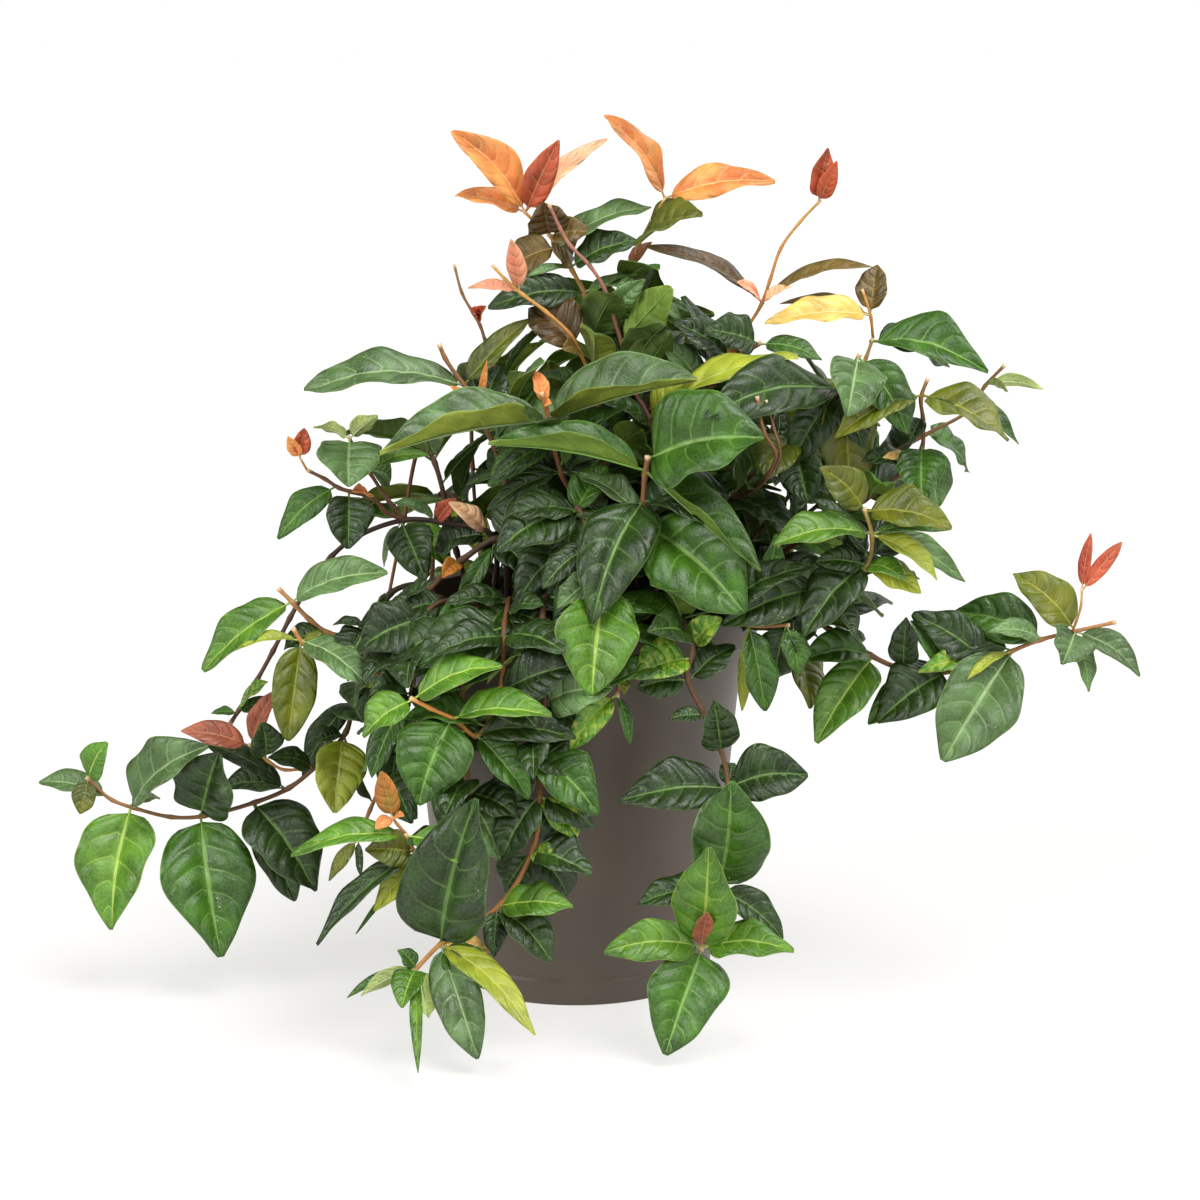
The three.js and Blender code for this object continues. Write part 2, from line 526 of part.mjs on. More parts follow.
// Young tips, each a soft new shoot that grows on from a leafy stem. from is the stem, its shoot (0 is the
// main one, then its branches) and the path point.
const YOUNG_TIPS = [
  {
    name: 'tip_low_left', from: ['stem_low_left', 0, 7], radius: 0.9,
    path: [[-89, 67.5, 122], [-92.5, 72, 122]],
    leaves: [
      [1, -97.5, 94.5, 124, 11, 0, 0.2, 'bronze'],
      [1, -100.5, 65.5, 128, 6, 0, 0.6, 'orange'],
      [1, -86, 72, 128, 4, 0, 0.6, 'orange'],
    ],
  },
  {
    name: 'tip_left_red', from: ['stem_left_runner', 0, 5], radius: 1,
    path: [[-145.5, 95, 34], [-154, 99.5, 36], [-159, 104, 37], [-164, 108, 38]],
    leaves: [
      [3, -197.5, 114.5, 46, 11, 0, 0.6, 'red'],
      [3, -149, 135.5, 44, 8, -0.3, 0.2, 'red'],
      [1, -157, 119, 46, 16, 0.1, 0.1, 'dark'],
    ],
  },
  {
    name: 'tip_left_bud', from: ['stem_left_node', 2, 5], radius: 0.8,
    path: [[-138, 251, 19]],
    leaves: [[0, -136, 266, 22, 9, 0.2, 0.1, 'red'], [0, -144, 262, 24, 7, -0.3, 0.1, 'orange']],
  },
  {
    name: 'tip_crown_left', from: ['stem_crown_left', 0, 7], radius: 1.1,
    path: [[-21, 369.5, -3], [-26.5, 375, -2]],
    leaves: [
      [1, -62, 414.5, 12, 19, 0.2, 0.2, 'orange'],
      [1, -8.5, 410, 14, 14, 0.4, 0.2, 'red'],
      [1, 15.5, 410.5, -20, 10, 0.4, 0.4, 'peach'],
      [1, -60.5, 382, 6, 9, 0, 1.5, 'orange'],
    ],
  },
  {
    name: 'tip_orange_pair', from: ['stem_orange_pair', 0, 6], radius: 0.9, path: [[44.5, 381, -14]],
    leaves: [[0, 13.5, 422, 0, 18, 0.3, 0.2, 'orange'], [0, 99.5, 389.5, -4, 18, 0, 0.6, 'orange']],
  },
  {
    name: 'tip_crown_right', from: ['stem_crown_right', 0, 2], radius: 1,
    path: [[92.5, 327.5, -5], [97, 340, -5], [102.5, 356, -5], [112, 369, -5], [122.5, 380, -5]],
    leaves: [
      [0, 35, 356.5, 8, 12, 0, 0.8, 'brown'],
      [0, 148, 346.5, 6, 11, 0, 0.8, 'bronze'],
      [0, 80.5, 339, 8, 8, 0, 0.3, 'pink'],
      [0, 108, 336.5, 6, 6, 0, 0.2, 'peach'],
      [4, 126, 406, 2, 12, 0.1, 0.1, 'red'],
      [4, 130.5, 399.5, 8, 8, 0.4, 0.1, 'red'],
    ],
  },
  {
    name: 'tip_yellow', from: ['stem_yellow', 0, 4], radius: 0.9,
    path: [[147.5, 321, 5], [145, 330, 5], [143, 335.5, 5]],
    leaves: [
      [0, 94.5, 318, 18, 17, 0, 0.5, 'yellow'],
      [0, 150.5, 347.5, -4, 14, -0.4, 0.2, 'bronze'],
      [0, 102, 328, -14, 8, 0, 0.6, 'bronze'],
    ],
  },
  {
    name: 'tip_pink', from: ['stem_crown_left', 0, 1], radius: 1.2,
    path: [
      [6, 294, 14], [2, 304, 17], [-3, 313, 19], [-15.5, 324.5, 21], [-27, 333, 21], [-35, 340, 21],
      [-42, 347.5, 21],
    ],
    leaves: [
      [4, -32.5, 360.5, 28, 9, 0.2, 0.2, 'pink'],
      [4, -54, 336, 26, 6, 0, 0.4, 'pink'],
      [2, -24, 318, 8, 26, 0, 0.1, 'brown'],
      [1, -7, 305.5, 26, 9, 0, 0.3, 'bronze'],
    ],
  },
  {
    name: 'tip_right_red', from: ['stem_right_runner', 0, 8], radius: 0.8,
    path: [[250, 169, 50], [252.5, 177, 54], [253, 186, 55]],
    leaves: [[2, 257.5, 213.5, 58, 6, -0.2, 0.1, 'red'], [2, 273, 209, 58, 8, 0.2, 0.1, 'red']],
  },
];

// Stems at the back and inside that the front view hides. Each leaves the soil, rises to a crest and hangs
// outwards, and is given as [heading in degrees, root distance, reach, crest height, end height].
const HIDDEN_STEMS = [
  [26, 66, 122, 250, 150], [42, 56, 108, 290, 190], [62, 40, 130, 240, 120], [82, 58, 112, 300, 200],
  [100, 38, 128, 255, 110], [121, 56, 109, 284, 180], [140, 44, 118, 235, 125], [160, 54, 108, 262, 165],
  [62, 28, 72, 325, 290],
];
const HIDDEN_SHARES = [0.14, 0.36, 0.58, 0.8, 1];
const HIDDEN_SWAY = 6;
const HIDDEN_SWAY_RATE = 5;
const HIDDEN_THICK = 1.9;
const HIDDEN_THIN = 1.1;
const HIDDEN_LEAF_LENGTH = 50;
const HIDDEN_LEAF_SLIMNESS = 0.5;
const HIDDEN_FORWARD = 0.5;
const HIDDEN_TURN_SPREAD = 0.8;
const HIDDEN_SIZE_SPREAD = 0.5;
const HIDDEN_LEAST_LEAN = 0.3;
const LEAF_SEED = 20261;

// The turns about the stem and the scales that a hidden leaf tries in turn.
const HIDDEN_TRIALS = [
  [0, 1], [0.35, 1], [-0.35, 1], [0, 0.8], [0.7, 0.9], [-0.7, 0.9], [0.35, 0.75], [-0.35, 0.75],
  [1.05, 0.8], [-1.05, 0.8], [0, 0.62],
];

// A leaf is tested this much thicker and wider than it is built, so that it stays clear of the others.
const TEST_GROWTH = 0.7;

// The hole that each stem stands in.
const HOLE_MARGIN = 1.4;
const HOLE_SIDES = 4;

// Colours and finishes.
const PLASTIC = new THREE.MeshStandardMaterial({ color: 0x4a413a, roughness: 0.5, metalness: 0 });
const PEAT = new THREE.MeshStandardMaterial({ color: 0x2b211a, roughness: 0.95, metalness: 0 });
const OLD_LEAF = new THREE.MeshStandardMaterial({ color: 0x35702a, roughness: 0.45, metalness: 0 });
const NEW_LEAF = new THREE.MeshStandardMaterial({ color: 0xc26a3e, roughness: 0.45, metalness: 0 });

// A closed shape is a list of points and a list of triangles that face outwards.
function facingOut(shape) {
  const { points, faces } = shape;
  let volume = 0;
  for (const [a, b, c] of faces) {
    volume += points[a].dot(new THREE.Vector3().crossVectors(points[b], points[c]));
  }
  if (volume < 0) {
    for (const face of faces) {
      face.reverse();
    }
  }
  return shape;
}

function solidOf(shape) {
  const vertProperties = new Float32Array(shape.points.flatMap((point) => [point.x, point.y, point.z]));
  const triVerts = new Uint32Array(shape.faces.flat());
  return new wasm.Manifold(new wasm.Mesh({ numProp: 3, vertProperties, triVerts }));
}

function solidOfGeometry(geometry) {
  const bare = geometry.clone();
  for (const name of Object.keys(bare.attributes)) {
    if (name !== 'position') {
      bare.deleteAttribute(name);
    }
  }
  const welded = mergeVertices(bare, 1e-4);
  const place = welded.attributes.position;
  const index = welded.index;
  const points = [];
  for (let i = 0; i < place.count; i += 1) {
    points.push(new THREE.Vector3().fromBufferAttribute(place, i));
  }
  const faces = [];
  for (let i = 0; i < index.count; i += 3) {
    const face = [index.getX(i), index.getX(i + 1), index.getX(i + 2)];
    if (new Set(face).size === 3) {
      faces.push(face);
    }
  }
  return solidOf(facingOut({ points, faces }));
}

// Joined stems and leaves can hold a sealed gap or a loose scrap, so only the largest closed skin is kept.
function largestSkin(solid) {
  const mesh = solid.getMesh();
  const found = new Map();
  const points = [];
  const renamed = [];
  for (let i = 0; i < mesh.numVert; i += 1) {
    const steps = [0, 1, 2].map((k) => Math.round(mesh.vertProperties[i * mesh.numProp + k] / WELD));
    const key = steps.join(',');
    if (!found.has(key)) {
      found.set(key, points.length);
      points.push(new THREE.Vector3(...steps).multiplyScalar(WELD));
    }
    renamed.push(found.get(key));
  }
  const parent = points.map((point, i) => i);
  const rootOf = (start) => {
    let i = start;
    while (parent[i] !== i) {
      parent[i] = parent[parent[i]];
      i = parent[i];
    }
    return i;
  };
  const faces = [];
  for (let i = 0; i < mesh.numTri; i += 1) {
    const face = [0, 1, 2].map((k) => renamed[mesh.triVerts[i * 3 + k]]);
    if (new Set(face).size === 3) {
      faces.push(face);
      parent[rootOf(face[1])] = rootOf(face[0]);
      parent[rootOf(face[2])] = rootOf(face[0]);
    }
  }
  const sizes = new Map();
  for (const face of faces) {
    sizes.set(rootOf(face[0]), (sizes.get(rootOf(face[0])) ?? 0) + 1);
  }
  const keep = [...sizes.entries()].sort((a, b) => b[1] - a[1])[0][0];
  return { points, faces: faces.filter((face) => rootOf(face[0]) === keep) };
}

function meshOf(name, shape, material) {
  const geometry = new THREE.BufferGeometry();
  const place = new Float32Array(shape.points.flatMap((point) => [point.x, point.y, point.z]));
  geometry.setAttribute('position', new THREE.BufferAttribute(place, 3));
  geometry.setIndex(shape.faces.flat());
  geometry.computeVertexNormals();
  const mesh = new THREE.Mesh(geometry, material);
  mesh.name = name;
  return mesh;
}

function lathe(profile) {
  const points = profile.map(([radius, up]) => new THREE.Vector2(radius, up));
  const geometry = new THREE.LatheGeometry(points, ROUND_SIDES);
  geometry.rotateX(Math.PI / 2);
  return solidOfGeometry(geometry);
}

// The pot: a tapered thin wall with a proud foot band, a deep rolled rim and drain notches round the foot.
function wallRadius(up) {
  return POT_BASE_RADIUS + ((POT_SHOULDER_RADIUS - POT_BASE_RADIUS) * up) / (POT_HEIGHT - RIM_DEPTH);
}

function makePot() {
  const shoulder = POT_HEIGHT - RIM_DEPTH;
  const innerStep = shoulder + RIM_LEDGE / 2;
  let pot = lathe([
    [0, 0],
    [POT_BASE_RADIUS + FOOT_STEP, 0],
    [wallRadius(FOOT_HEIGHT) + FOOT_STEP, FOOT_HEIGHT - 1],
    [wallRadius(FOOT_HEIGHT), FOOT_HEIGHT],
    [POT_SHOULDER_RADIUS, shoulder],
    [RIM_RADIUS, shoulder],
    [RIM_RADIUS, POT_HEIGHT - RIM_ROUNDING],
    [RIM_RADIUS - RIM_ROUNDING, POT_HEIGHT],
    [RIM_OPENING_RADIUS + RIM_ROUNDING, POT_HEIGHT],
    [RIM_OPENING_RADIUS, POT_HEIGHT - RIM_ROUNDING],
    [RIM_OPENING_RADIUS, shoulder + RIM_LEDGE],
    [wallRadius(innerStep) - POT_WALL, innerStep],
    [wallRadius(POT_FLOOR) - POT_WALL, POT_FLOOR],
    [0, POT_FLOOR],
  ]);
  for (let i = 0; i < DRAIN_COUNT; i += 1) {
    const notch = new THREE.BoxGeometry(DRAIN_REACH * 2, DRAIN_WIDTH, DRAIN_HEIGHT * 2);
    notch.translate(wallRadius(0) + FOOT_STEP, 0, 0);
    notch.rotateZ(((i + 0.5) / DRAIN_COUNT) * Math.PI * 2);
    pot = pot.subtract(solidOfGeometry(notch));
  }
  return pot;
}

// Stems are three-sided tubes drawn through their path points, and long spans get a middle ring.
function tangentsOf(points) {
  return points.map((point, i) => {
    const before = points[Math.max(i - 1, 0)];
    const after = points[Math.min(i + 1, points.length - 1)];
    const span = before.distanceTo(point) + point.distanceTo(after);
    return after.clone().sub(before).divideScalar(span);
  });
}

function smoothPath(points) {
  const tangents = tangentsOf(points);
  const path = [];
  for (let i = 0; i < points.length; i += 1) {
    path.push(points[i].clone());
    if (i + 1 < points.length) {
      const span = points[i].distanceTo(points[i + 1]);
      if (span > STEM_STEP) {
        const bend = tangents[i].clone().sub(tangents[i + 1]).multiplyScalar(span / 8);
        path.push(points[i].clone().add(points[i + 1]).multiplyScalar(0.5).add(bend));
      }
    }
  }
  return path;
}

function tubeShape(points, startRadius, endRadius) {
  const path = smoothPath(points);
  const tangents = tangentsOf(path).map((tangent) => tangent.normalize());
  const lengths = [0];
  for (let i = 1; i < path.length; i += 1) {
    lengths.push(lengths[i - 1] + path[i].distanceTo(path[i - 1]));
  }
  const shape = { points: [], faces: [] };
  let side = new THREE.Vector3(1, 0, 0);
  if (Math.abs(tangents[0].x) > 0.9) {
    side = new THREE.Vector3(0, 0, 1);
  }
  path.forEach((centre, i) => {
    side = side.clone().addScaledVector(tangents[i], -side.dot(tangents[i])).normalize();
    const other = new THREE.Vector3().crossVectors(tangents[i], side);
    const radius = startRadius + ((endRadius - startRadius) * lengths[i]) / lengths[lengths.length - 1];
    for (let k = 0; k < STEM_SIDES; k += 1) {
      const angle = ((k + 0.5) / STEM_SIDES) * Math.PI * 2;
      const corner = centre.clone();
      corner.addScaledVector(side, Math.cos(angle) * radius);
      corner.addScaledVector(other, Math.sin(angle) * radius);
      shape.points.push(corner);
    }
  });
  for (let i = 0; i + 1 < path.length; i += 1) {
    for (let k = 0; k < STEM_SIDES; k += 1) {
      const a = i * STEM_SIDES + k;
      const b = i * STEM_SIDES + ((k + 1) % STEM_SIDES);
      shape.faces.push([a, b, b + STEM_SIDES], [a, b + STEM_SIDES, a + STEM_SIDES]);
    }
  }
  const last = (path.length - 1) * STEM_SIDES;
  for (let k = 1; k + 1 < STEM_SIDES; k += 1) {
    shape.faces.push([0, k + 1, k], [last, last + k, last + k + 1]);
  }
  return facingOut(shape);
}

// A leaf blade from its stem to its tip, arched along its length. Wide blades are folded a little along the
// midrib, with six points a section, and the rest are flat across, with four. Both faces are split alike.
function bladeShape(base, tip, normal, width, grow, plain = false) {
  const along = tip.clone().sub(base);
  const length = along.length();
  along.divideScalar(length);
  const side = new THREE.Vector3().crossVectors(normal, along).normalize();
  const lift = (BLADE_THICKNESS + grow) / 2;
  const folded = width >= WIDE_LEAF && !plain;
  const shape = { points: [], faces: [] };
  const add = (centre, half, raise, face) => {
    const point = centre.clone().addScaledVector(side, half).addScaledVector(normal, raise + face * lift);
    shape.points.push(point);
  };
  const root = base.clone().addScaledVector(along, -ROOT_SINK - grow / 2);
  add(root, 0, 0, 1);
  add(root, 0, 0, -1);
  let stations = width < SMALL_LEAF ? SMALL_STATIONS : PLAIN_STATIONS;
  if (folded) {
    stations = FINE_STATIONS;
    shape.faces.push(
      [3, 2, 0], [4, 3, 0], [5, 4, 1], [1, 4, 0], [6, 5, 1], [7, 6, 1], [2, 7, 0], [0, 7, 1],
    );
  } else {
    shape.faces.push([3, 2, 0], [4, 3, 0], [1, 4, 0], [5, 4, 1], [2, 5, 0], [0, 5, 1]);
  }
  const count = folded ? 6 : 4;
  stations.forEach(([share, fullness], i) => {
    const half = (width / 2) * fullness + grow / 2;
    const centre = base.clone().addScaledVector(along, length * share);
    centre.addScaledVector(normal, LEAF_ARCH * length * Math.sin(Math.PI * share));
    const raise = folded ? LEAF_FOLD * (width / 2) * fullness : 0;
    add(centre, -half, raise, 1);
    if (folded) {
      add(centre, 0, 0, 1);
    }
    add(centre, half, raise, 1);
    add(centre, half, raise, -1);
    if (folded) {
      add(centre, 0, 0, -1);
    }
    add(centre, -half, raise, -1);
    if (i > 0) {
      const a = 2 + (i - 1) * count;
      const b = a + count;
      if (folded) {
        shape.faces.push(
          [a, a + 1, b + 1], [a, b + 1, b], [a + 1, a + 2, b + 1], [a + 2, b + 2, b + 1],
          [a + 2, a + 3, b + 3], [a + 2, b + 3, b + 2],
          [a + 4, a + 5, b + 4], [a + 5, b + 5, b + 4], [a + 3, a + 4, b + 4], [a + 3, b + 4, b + 3],
          [a + 5, a, b], [a + 5, b, b + 5],
        );
      } else {
        shape.faces.push(
          [a, a + 1, b + 1], [a, b + 1, b], [a + 1, a + 2, b + 2], [a + 1, b + 2, b + 1],
          [a + 2, a + 3, b + 2], [a + 3, b + 3, b + 2], [a + 3, a, b], [a + 3, b, b + 3],
        );
      }
    }
  });
  const end = tip.clone().addScaledVector(along, grow / 2);
  add(end, 0, 0, 1);
  add(end, 0, 0, -1);
  const a = 2 + (stations.length - 1) * count;
  const t = a + count;
  if (folded) {
    shape.faces.push(
      [a, a + 1, t], [a + 1, a + 2, t], [a + 2, a + 3, t + 1], [a + 2, t + 1, t],
      [a + 3, a + 4, t + 1], [a + 4, a + 5, t + 1], [a + 5, a, t], [a + 5, t, t + 1],
    );
  } else {
    shape.faces.push(
      [a, a + 1, t], [a + 1, a + 2, t + 1], [a + 1, t + 1, t], [a + 2, a + 3, t + 1],
      [a + 3, a, t], [a + 3, t, t + 1],
    );
  }
  return facingOut(shape);
}

// A leaf grows from its stem just past a path point, or just before the last one.
function leafBase(path, at) {
  const last = path.length - 1;
  const other = at < last ? path[at + 1] : path[Math.max(at - 1, 0)];
  const step = other.clone().sub(path[at]);
  return path[at].clone().addScaledVector(step.normalize(), step.lengthSq() > 0 ? LEAF_STEP : 0);
}

// Where a leaf of the tables lies after one of the shifts.
function seenLeaf(base, row, shift) {
  const [, across, up, near, width, faceRight, faceUp, kind] = row;
  const tip = seen(across, up, near + shift[0]);
  const along = tip.clone().sub(base).normalize();
  const facing = SIGHT_FORWARD.clone().multiplyScalar(kind === 'pale' ? 1 : -1);
  facing.add(new THREE.Vector3(faceRight, 0, faceUp + shift[1]));
  const normal = facing.addScaledVector(along, -facing.dot(along)).normalize();
  const side = new THREE.Vector3().crossVectors(normal, along);
  const acrossSight = new THREE.Vector3().crossVectors(SIGHT_FORWARD, along).normalize();
  const spread = Math.max(Math.abs(side.dot(acrossSight)), LEAST_SPREAD);
  return { tip, normal, width: width / spread };
}

// Everything placed so far, so that each new stem and leaf keeps clear of it.
const placed = [];

function boxOf(shape) {
  return new THREE.Box3().setFromPoints(shape.points);
}

function isClear(shape, skip) {
  const box = boxOf(shape);
  if (box.min.z < LOWEST_LEAF) {
    return false;
  }
  const solid = solidOf(shape);
  for (const item of placed) {
    if (item.box.intersectsBox(box) && !skip(item)) {
      const shared = solid.intersect(item.solid);
      const empty = shared.isEmpty();
      shared.delete();
      if (!empty) {
        solid.delete();
        return false;
      }
    }
  }
  solid.delete();
  return true;
}

function place(shape, owner, growsFrom) {
  const item = { solid: solidOf(shape), box: boxOf(shape), owner, growsFrom };
  placed.push(item);
  return item;
}

function tubeSolid(points, startRadius, endRadius, owner) {
  const tangents = tangentsOf(points);
  const last = points[points.length - 1];
  const stub = last.clone().addScaledVector(tangents[points.length - 1].normalize(), STEM_STUB);
  const shape = tubeShape([...points.slice(0, -1), stub], startRadius, endRadius);
  return place(shape, owner, 'stem');
}

const plants = new Map();
const roots = [];

function plantOf(name, material) {
  if (!plants.has(name)) {
    plants.set(name, { pieces: [], material });
  }
  return plants.get(name);
}

// Stems first.
for (const stem of STEMS) {
  const [x, y] = stem.root;
  roots.push({ x, y, radius: stem.thick });
  const below = SOIL_LEVEL - ROOT_DEPTH;
  const base = [below, SOIL_LEVEL + STEM_COLLAR].map((up) => new THREE.Vector3(x, y, up));
  const path = stem.path.map((point) => seen(...point));
  const plant = plantOf(stem.name, OLD_LEAF);
  plant.pieces.push(tubeSolid([...base, ...path], stem.thick, stem.thin, stem.name));
  plant.shoots = [{ path, leaves: stem.leaves }];
  for (const branch of stem.branches ?? []) {
    const branchPath = branch.path.map((point) => seen(...point));
    const route = [path[branch.from], ...branchPath];
    plant.pieces.push(tubeSolid(route, stem.thin, stem.thin * STEM_TAPER, stem.name));
    plant.shoots.push({ path: branchPath, leaves: branch.leaves });
  }
}

// Hidden stems rise to a crest and hang outwards, swaying a little.
function hiddenPath(row, number) {
  const [heading, rootDistance, reach, crest, end] = row;
  return HIDDEN_SHARES.map((share) => {
    const sway = HIDDEN_SWAY * Math.sin(HIDDEN_SWAY_RATE * share + number);
    const turn = THREE.MathUtils.degToRad(heading + sway);
    const distance = rootDistance + (reach - rootDistance) * share;
    const low = share < 0.5 ? SOIL_LEVEL : end;
    const up = low + (crest - low) * Math.sin(Math.PI * share);
    return new THREE.Vector3(Math.cos(turn) * distance, Math.sin(turn) * distance, up);
  });
}

HIDDEN_STEMS.forEach((row, number) => {
  const heading = THREE.MathUtils.degToRad(row[0]);
  const x = Math.cos(heading) * row[1];
  const y = Math.sin(heading) * row[1];
  roots.push({ x, y, radius: HIDDEN_THICK });
  const below = SOIL_LEVEL - ROOT_DEPTH;
  const base = [below, SOIL_LEVEL + STEM_COLLAR].map((up) => new THREE.Vector3(x, y, up));
  const path = hiddenPath(row, number);
  const name = `stem_back_${number + 1}`;
  const plant = plantOf(name, OLD_LEAF);
  plant.pieces.push(tubeSolid([...base, ...path], HIDDEN_THICK, HIDDEN_THIN, name));
  plant.hidden = path;
});

// Young tips start a hair's breadth beyond the stem they grow on.
for (const tip of YOUNG_TIPS) {
  const [stemName, shoot, at] = tip.from;
  const stem = plants.get(stemName);
  const centre = stem.shoots[shoot].path[at];
  const path = tip.path.map((point) => seen(...point));
  const along = path[0].clone().sub(centre).normalize();
  const growing = (gap, radius) => {
    const start = centre.clone().addScaledVector(along, gap);
    return tubeShape([start, ...path], radius, radius * STEM_TAPER);
  };
  const others = (item) => item.owner !== stemName;
  const furthest = path[0].distanceTo(centre) - CLEARANCE * 3;
  let gap = CLEARANCE;
  while (gap < furthest && !isClear(growing(gap, tip.radius + CLEARANCE), others)) {
    gap += TIP_STEP;
  }
  gap += CLEARANCE;
  const plant = plantOf(tip.name, NEW_LEAF);
  const start = centre.clone().addScaledVector(along, gap);
  plant.pieces.push(tubeSolid([start, ...path], tip.radius, tip.radius * STEM_TAPER, tip.name));
  plant.shoots = [{ path, leaves: tip.leaves }];
}

// The pot, and soil with a plain hole for each stem.
const pot = makePot();
let soil = lathe([
  [0, POT_FLOOR + CLEARANCE],
  [wallRadius(POT_FLOOR) - POT_WALL - SOIL_GAP, POT_FLOOR + CLEARANCE],
  [wallRadius(SOIL_LEVEL) - POT_WALL - SOIL_GAP, SOIL_LEVEL],
  [0, SOIL_LEVEL],
]);
for (const { x, y, radius } of roots) {
  const depth = ROOT_DEPTH + CLEARANCE;
  const wide = radius + HOLE_MARGIN;
  const hole = new THREE.CylinderGeometry(wide, wide, depth * 2, HOLE_SIDES);
  hole.rotateX(Math.PI / 2);
  hole.rotateZ(Math.PI / HOLE_SIDES);
  hole.translate(x, y, SOIL_LEVEL);
  soil = soil.subtract(solidOfGeometry(hole));
}
const potBox = new THREE.Box3(
  new THREE.Vector3(-RIM_RADIUS, -RIM_RADIUS, 0),
  new THREE.Vector3(RIM_RADIUS, RIM_RADIUS, POT_HEIGHT),
);
placed.push({ solid: pot, box: potBox, owner: 'pot', growsFrom: 'pot' });
placed.push({ solid: soil, box: potBox, owner: 'soil', growsFrom: 'soil' });

// Leaves of the tables, in the order they are written.
for (const [name, plant] of plants) {
  (plant.shoots ?? []).forEach((shoot, number) => {
    for (const row of shoot.leaves) {
      const base = leafBase(shoot.path, row[0]);
      const key = `${number}:${row[0]}`;
      const skip = (item) => item.owner === name && (item.growsFrom === 'stem' || item.growsFrom === key);
      const shift = LEAF_SHIFTS.find((trial) => {
        const { tip, normal, width } = seenLeaf(base, row, trial);
        return isClear(bladeShape(base, tip, normal, width, TEST_GROWTH), skip);
      });
      if (shift) {
        const { tip, normal, width } = seenLeaf(base, row, shift);
        plant.pieces.push(place(bladeShape(base, tip, normal, width, 0), name, key));
      }
    }
  });
}

// Leaves of the hidden stems: opposite pairs, each pair a quarter turn from the last.
const DRAW_FACTOR = 16807;
const DRAW_RANGE = 2147483647;
let seed = LEAF_SEED;
function draw() {
  seed = (seed * DRAW_FACTOR) % DRAW_RANGE;
  return seed / DRAW_RANGE;
}

function hiddenLeaf(base, tangent, turn, size, lean) {
  const level = new THREE.Vector3(-tangent.y, tangent.x, 0).normalize();
  const rise = new THREE.Vector3().crossVectors(tangent, level);
  const along = level.multiplyScalar(Math.cos(turn)).addScaledVector(rise, Math.sin(turn));
  along.addScaledVector(tangent, HIDDEN_FORWARD).normalize();
  const tip = base.clone().addScaledVector(along, size);
  const facing = new THREE.Vector3(base.x, base.y, 0).normalize().multiplyScalar(lean);
  facing.z = 1;
  const normal = facing.addScaledVector(along, -facing.dot(along)).normalize();
  return { tip, normal, width: size * HIDDEN_LEAF_SLIMNESS };
}

for (const [name, plant] of plants) {
  const path = plant.hidden ?? [];
  const tangents = path.length > 0 ? tangentsOf(path).map((tangent) => tangent.normalize()) : [];
  for (let at = 1; at < path.length; at += 1) {
    const base = leafBase(path, at);
    for (const half of [0, Math.PI]) {
      const turn = half + (at % 2) * (Math.PI / 2) + (draw() - 0.5) * HIDDEN_TURN_SPREAD;
      const size = HIDDEN_LEAF_LENGTH * (1 + (draw() - 0.5) * HIDDEN_SIZE_SPREAD);
      const lean = HIDDEN_LEAST_LEAN + draw();
      const near = ['stem', `${at}`];
      const skip = (item) => item.owner === name && near.includes(item.growsFrom);
      const trial = HIDDEN_TRIALS.find(([extra, scale]) => {
        const { tip, normal, width } = hiddenLeaf(base, tangents[at], turn + extra, size * scale, lean);
        return isClear(bladeShape(base, tip, normal, width, TEST_GROWTH, true), skip);
      });
      if (trial) {
        const [extra, scale] = trial;
        const { tip, normal, width } = hiddenLeaf(base, tangents[at], turn + extra, size * scale, lean);
        plant.pieces.push(place(bladeShape(base, tip, normal, width, 0, true), name, `${at}`));
      }
    }
  }
}

// The whole plant in its pot.
const group = new THREE.Group();
group.name = 'potted_asiatic_jasmine';
group.add(meshOf('pot', largestSkin(pot), PLASTIC));
group.add(meshOf('soil', largestSkin(soil), PEAT));
for (const [name, plant] of plants) {
  let joined = plant.pieces[0].solid;
  for (const piece of plant.pieces.slice(1)) {
    joined = joined.add(piece.solid);
  }
  group.add(meshOf(name, largestSkin(joined), plant.material));
}

export default group;
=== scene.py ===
import math
import random

import bmesh
import bpy
from mathutils import Matrix, Vector, noise
from mathutils.bvhtree import BVHTree
from mathutils.kdtree import KDTree


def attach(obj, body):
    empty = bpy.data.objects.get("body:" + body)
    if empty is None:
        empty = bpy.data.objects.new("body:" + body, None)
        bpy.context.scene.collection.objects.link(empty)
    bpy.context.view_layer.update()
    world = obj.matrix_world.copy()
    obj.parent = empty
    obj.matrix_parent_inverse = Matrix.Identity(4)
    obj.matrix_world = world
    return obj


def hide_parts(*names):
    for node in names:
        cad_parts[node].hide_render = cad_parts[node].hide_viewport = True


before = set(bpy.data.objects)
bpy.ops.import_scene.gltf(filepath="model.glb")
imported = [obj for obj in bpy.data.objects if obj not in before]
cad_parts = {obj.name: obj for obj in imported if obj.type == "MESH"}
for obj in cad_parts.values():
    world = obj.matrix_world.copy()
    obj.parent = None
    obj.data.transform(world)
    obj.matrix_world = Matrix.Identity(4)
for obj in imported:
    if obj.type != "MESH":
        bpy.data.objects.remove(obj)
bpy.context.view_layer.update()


# The view: the pot is seen from the front at about arm's length and a half, looking a little down on it.
# Everything on the plant is laid out in this view, so the eye comes first. All lengths are millimetres.
eye = Vector((12, -1406, 489))
pitch = math.radians(12.1)
sight = Vector((0, math.cos(pitch), -math.sin(pitch)))
sight_up = Vector((0, math.sin(pitch), math.cos(pitch)))
plane_distance = 1448.5
plane_across = 12
plane_up = 180
view_width = 600
sensor_width = 36
metre = 1000

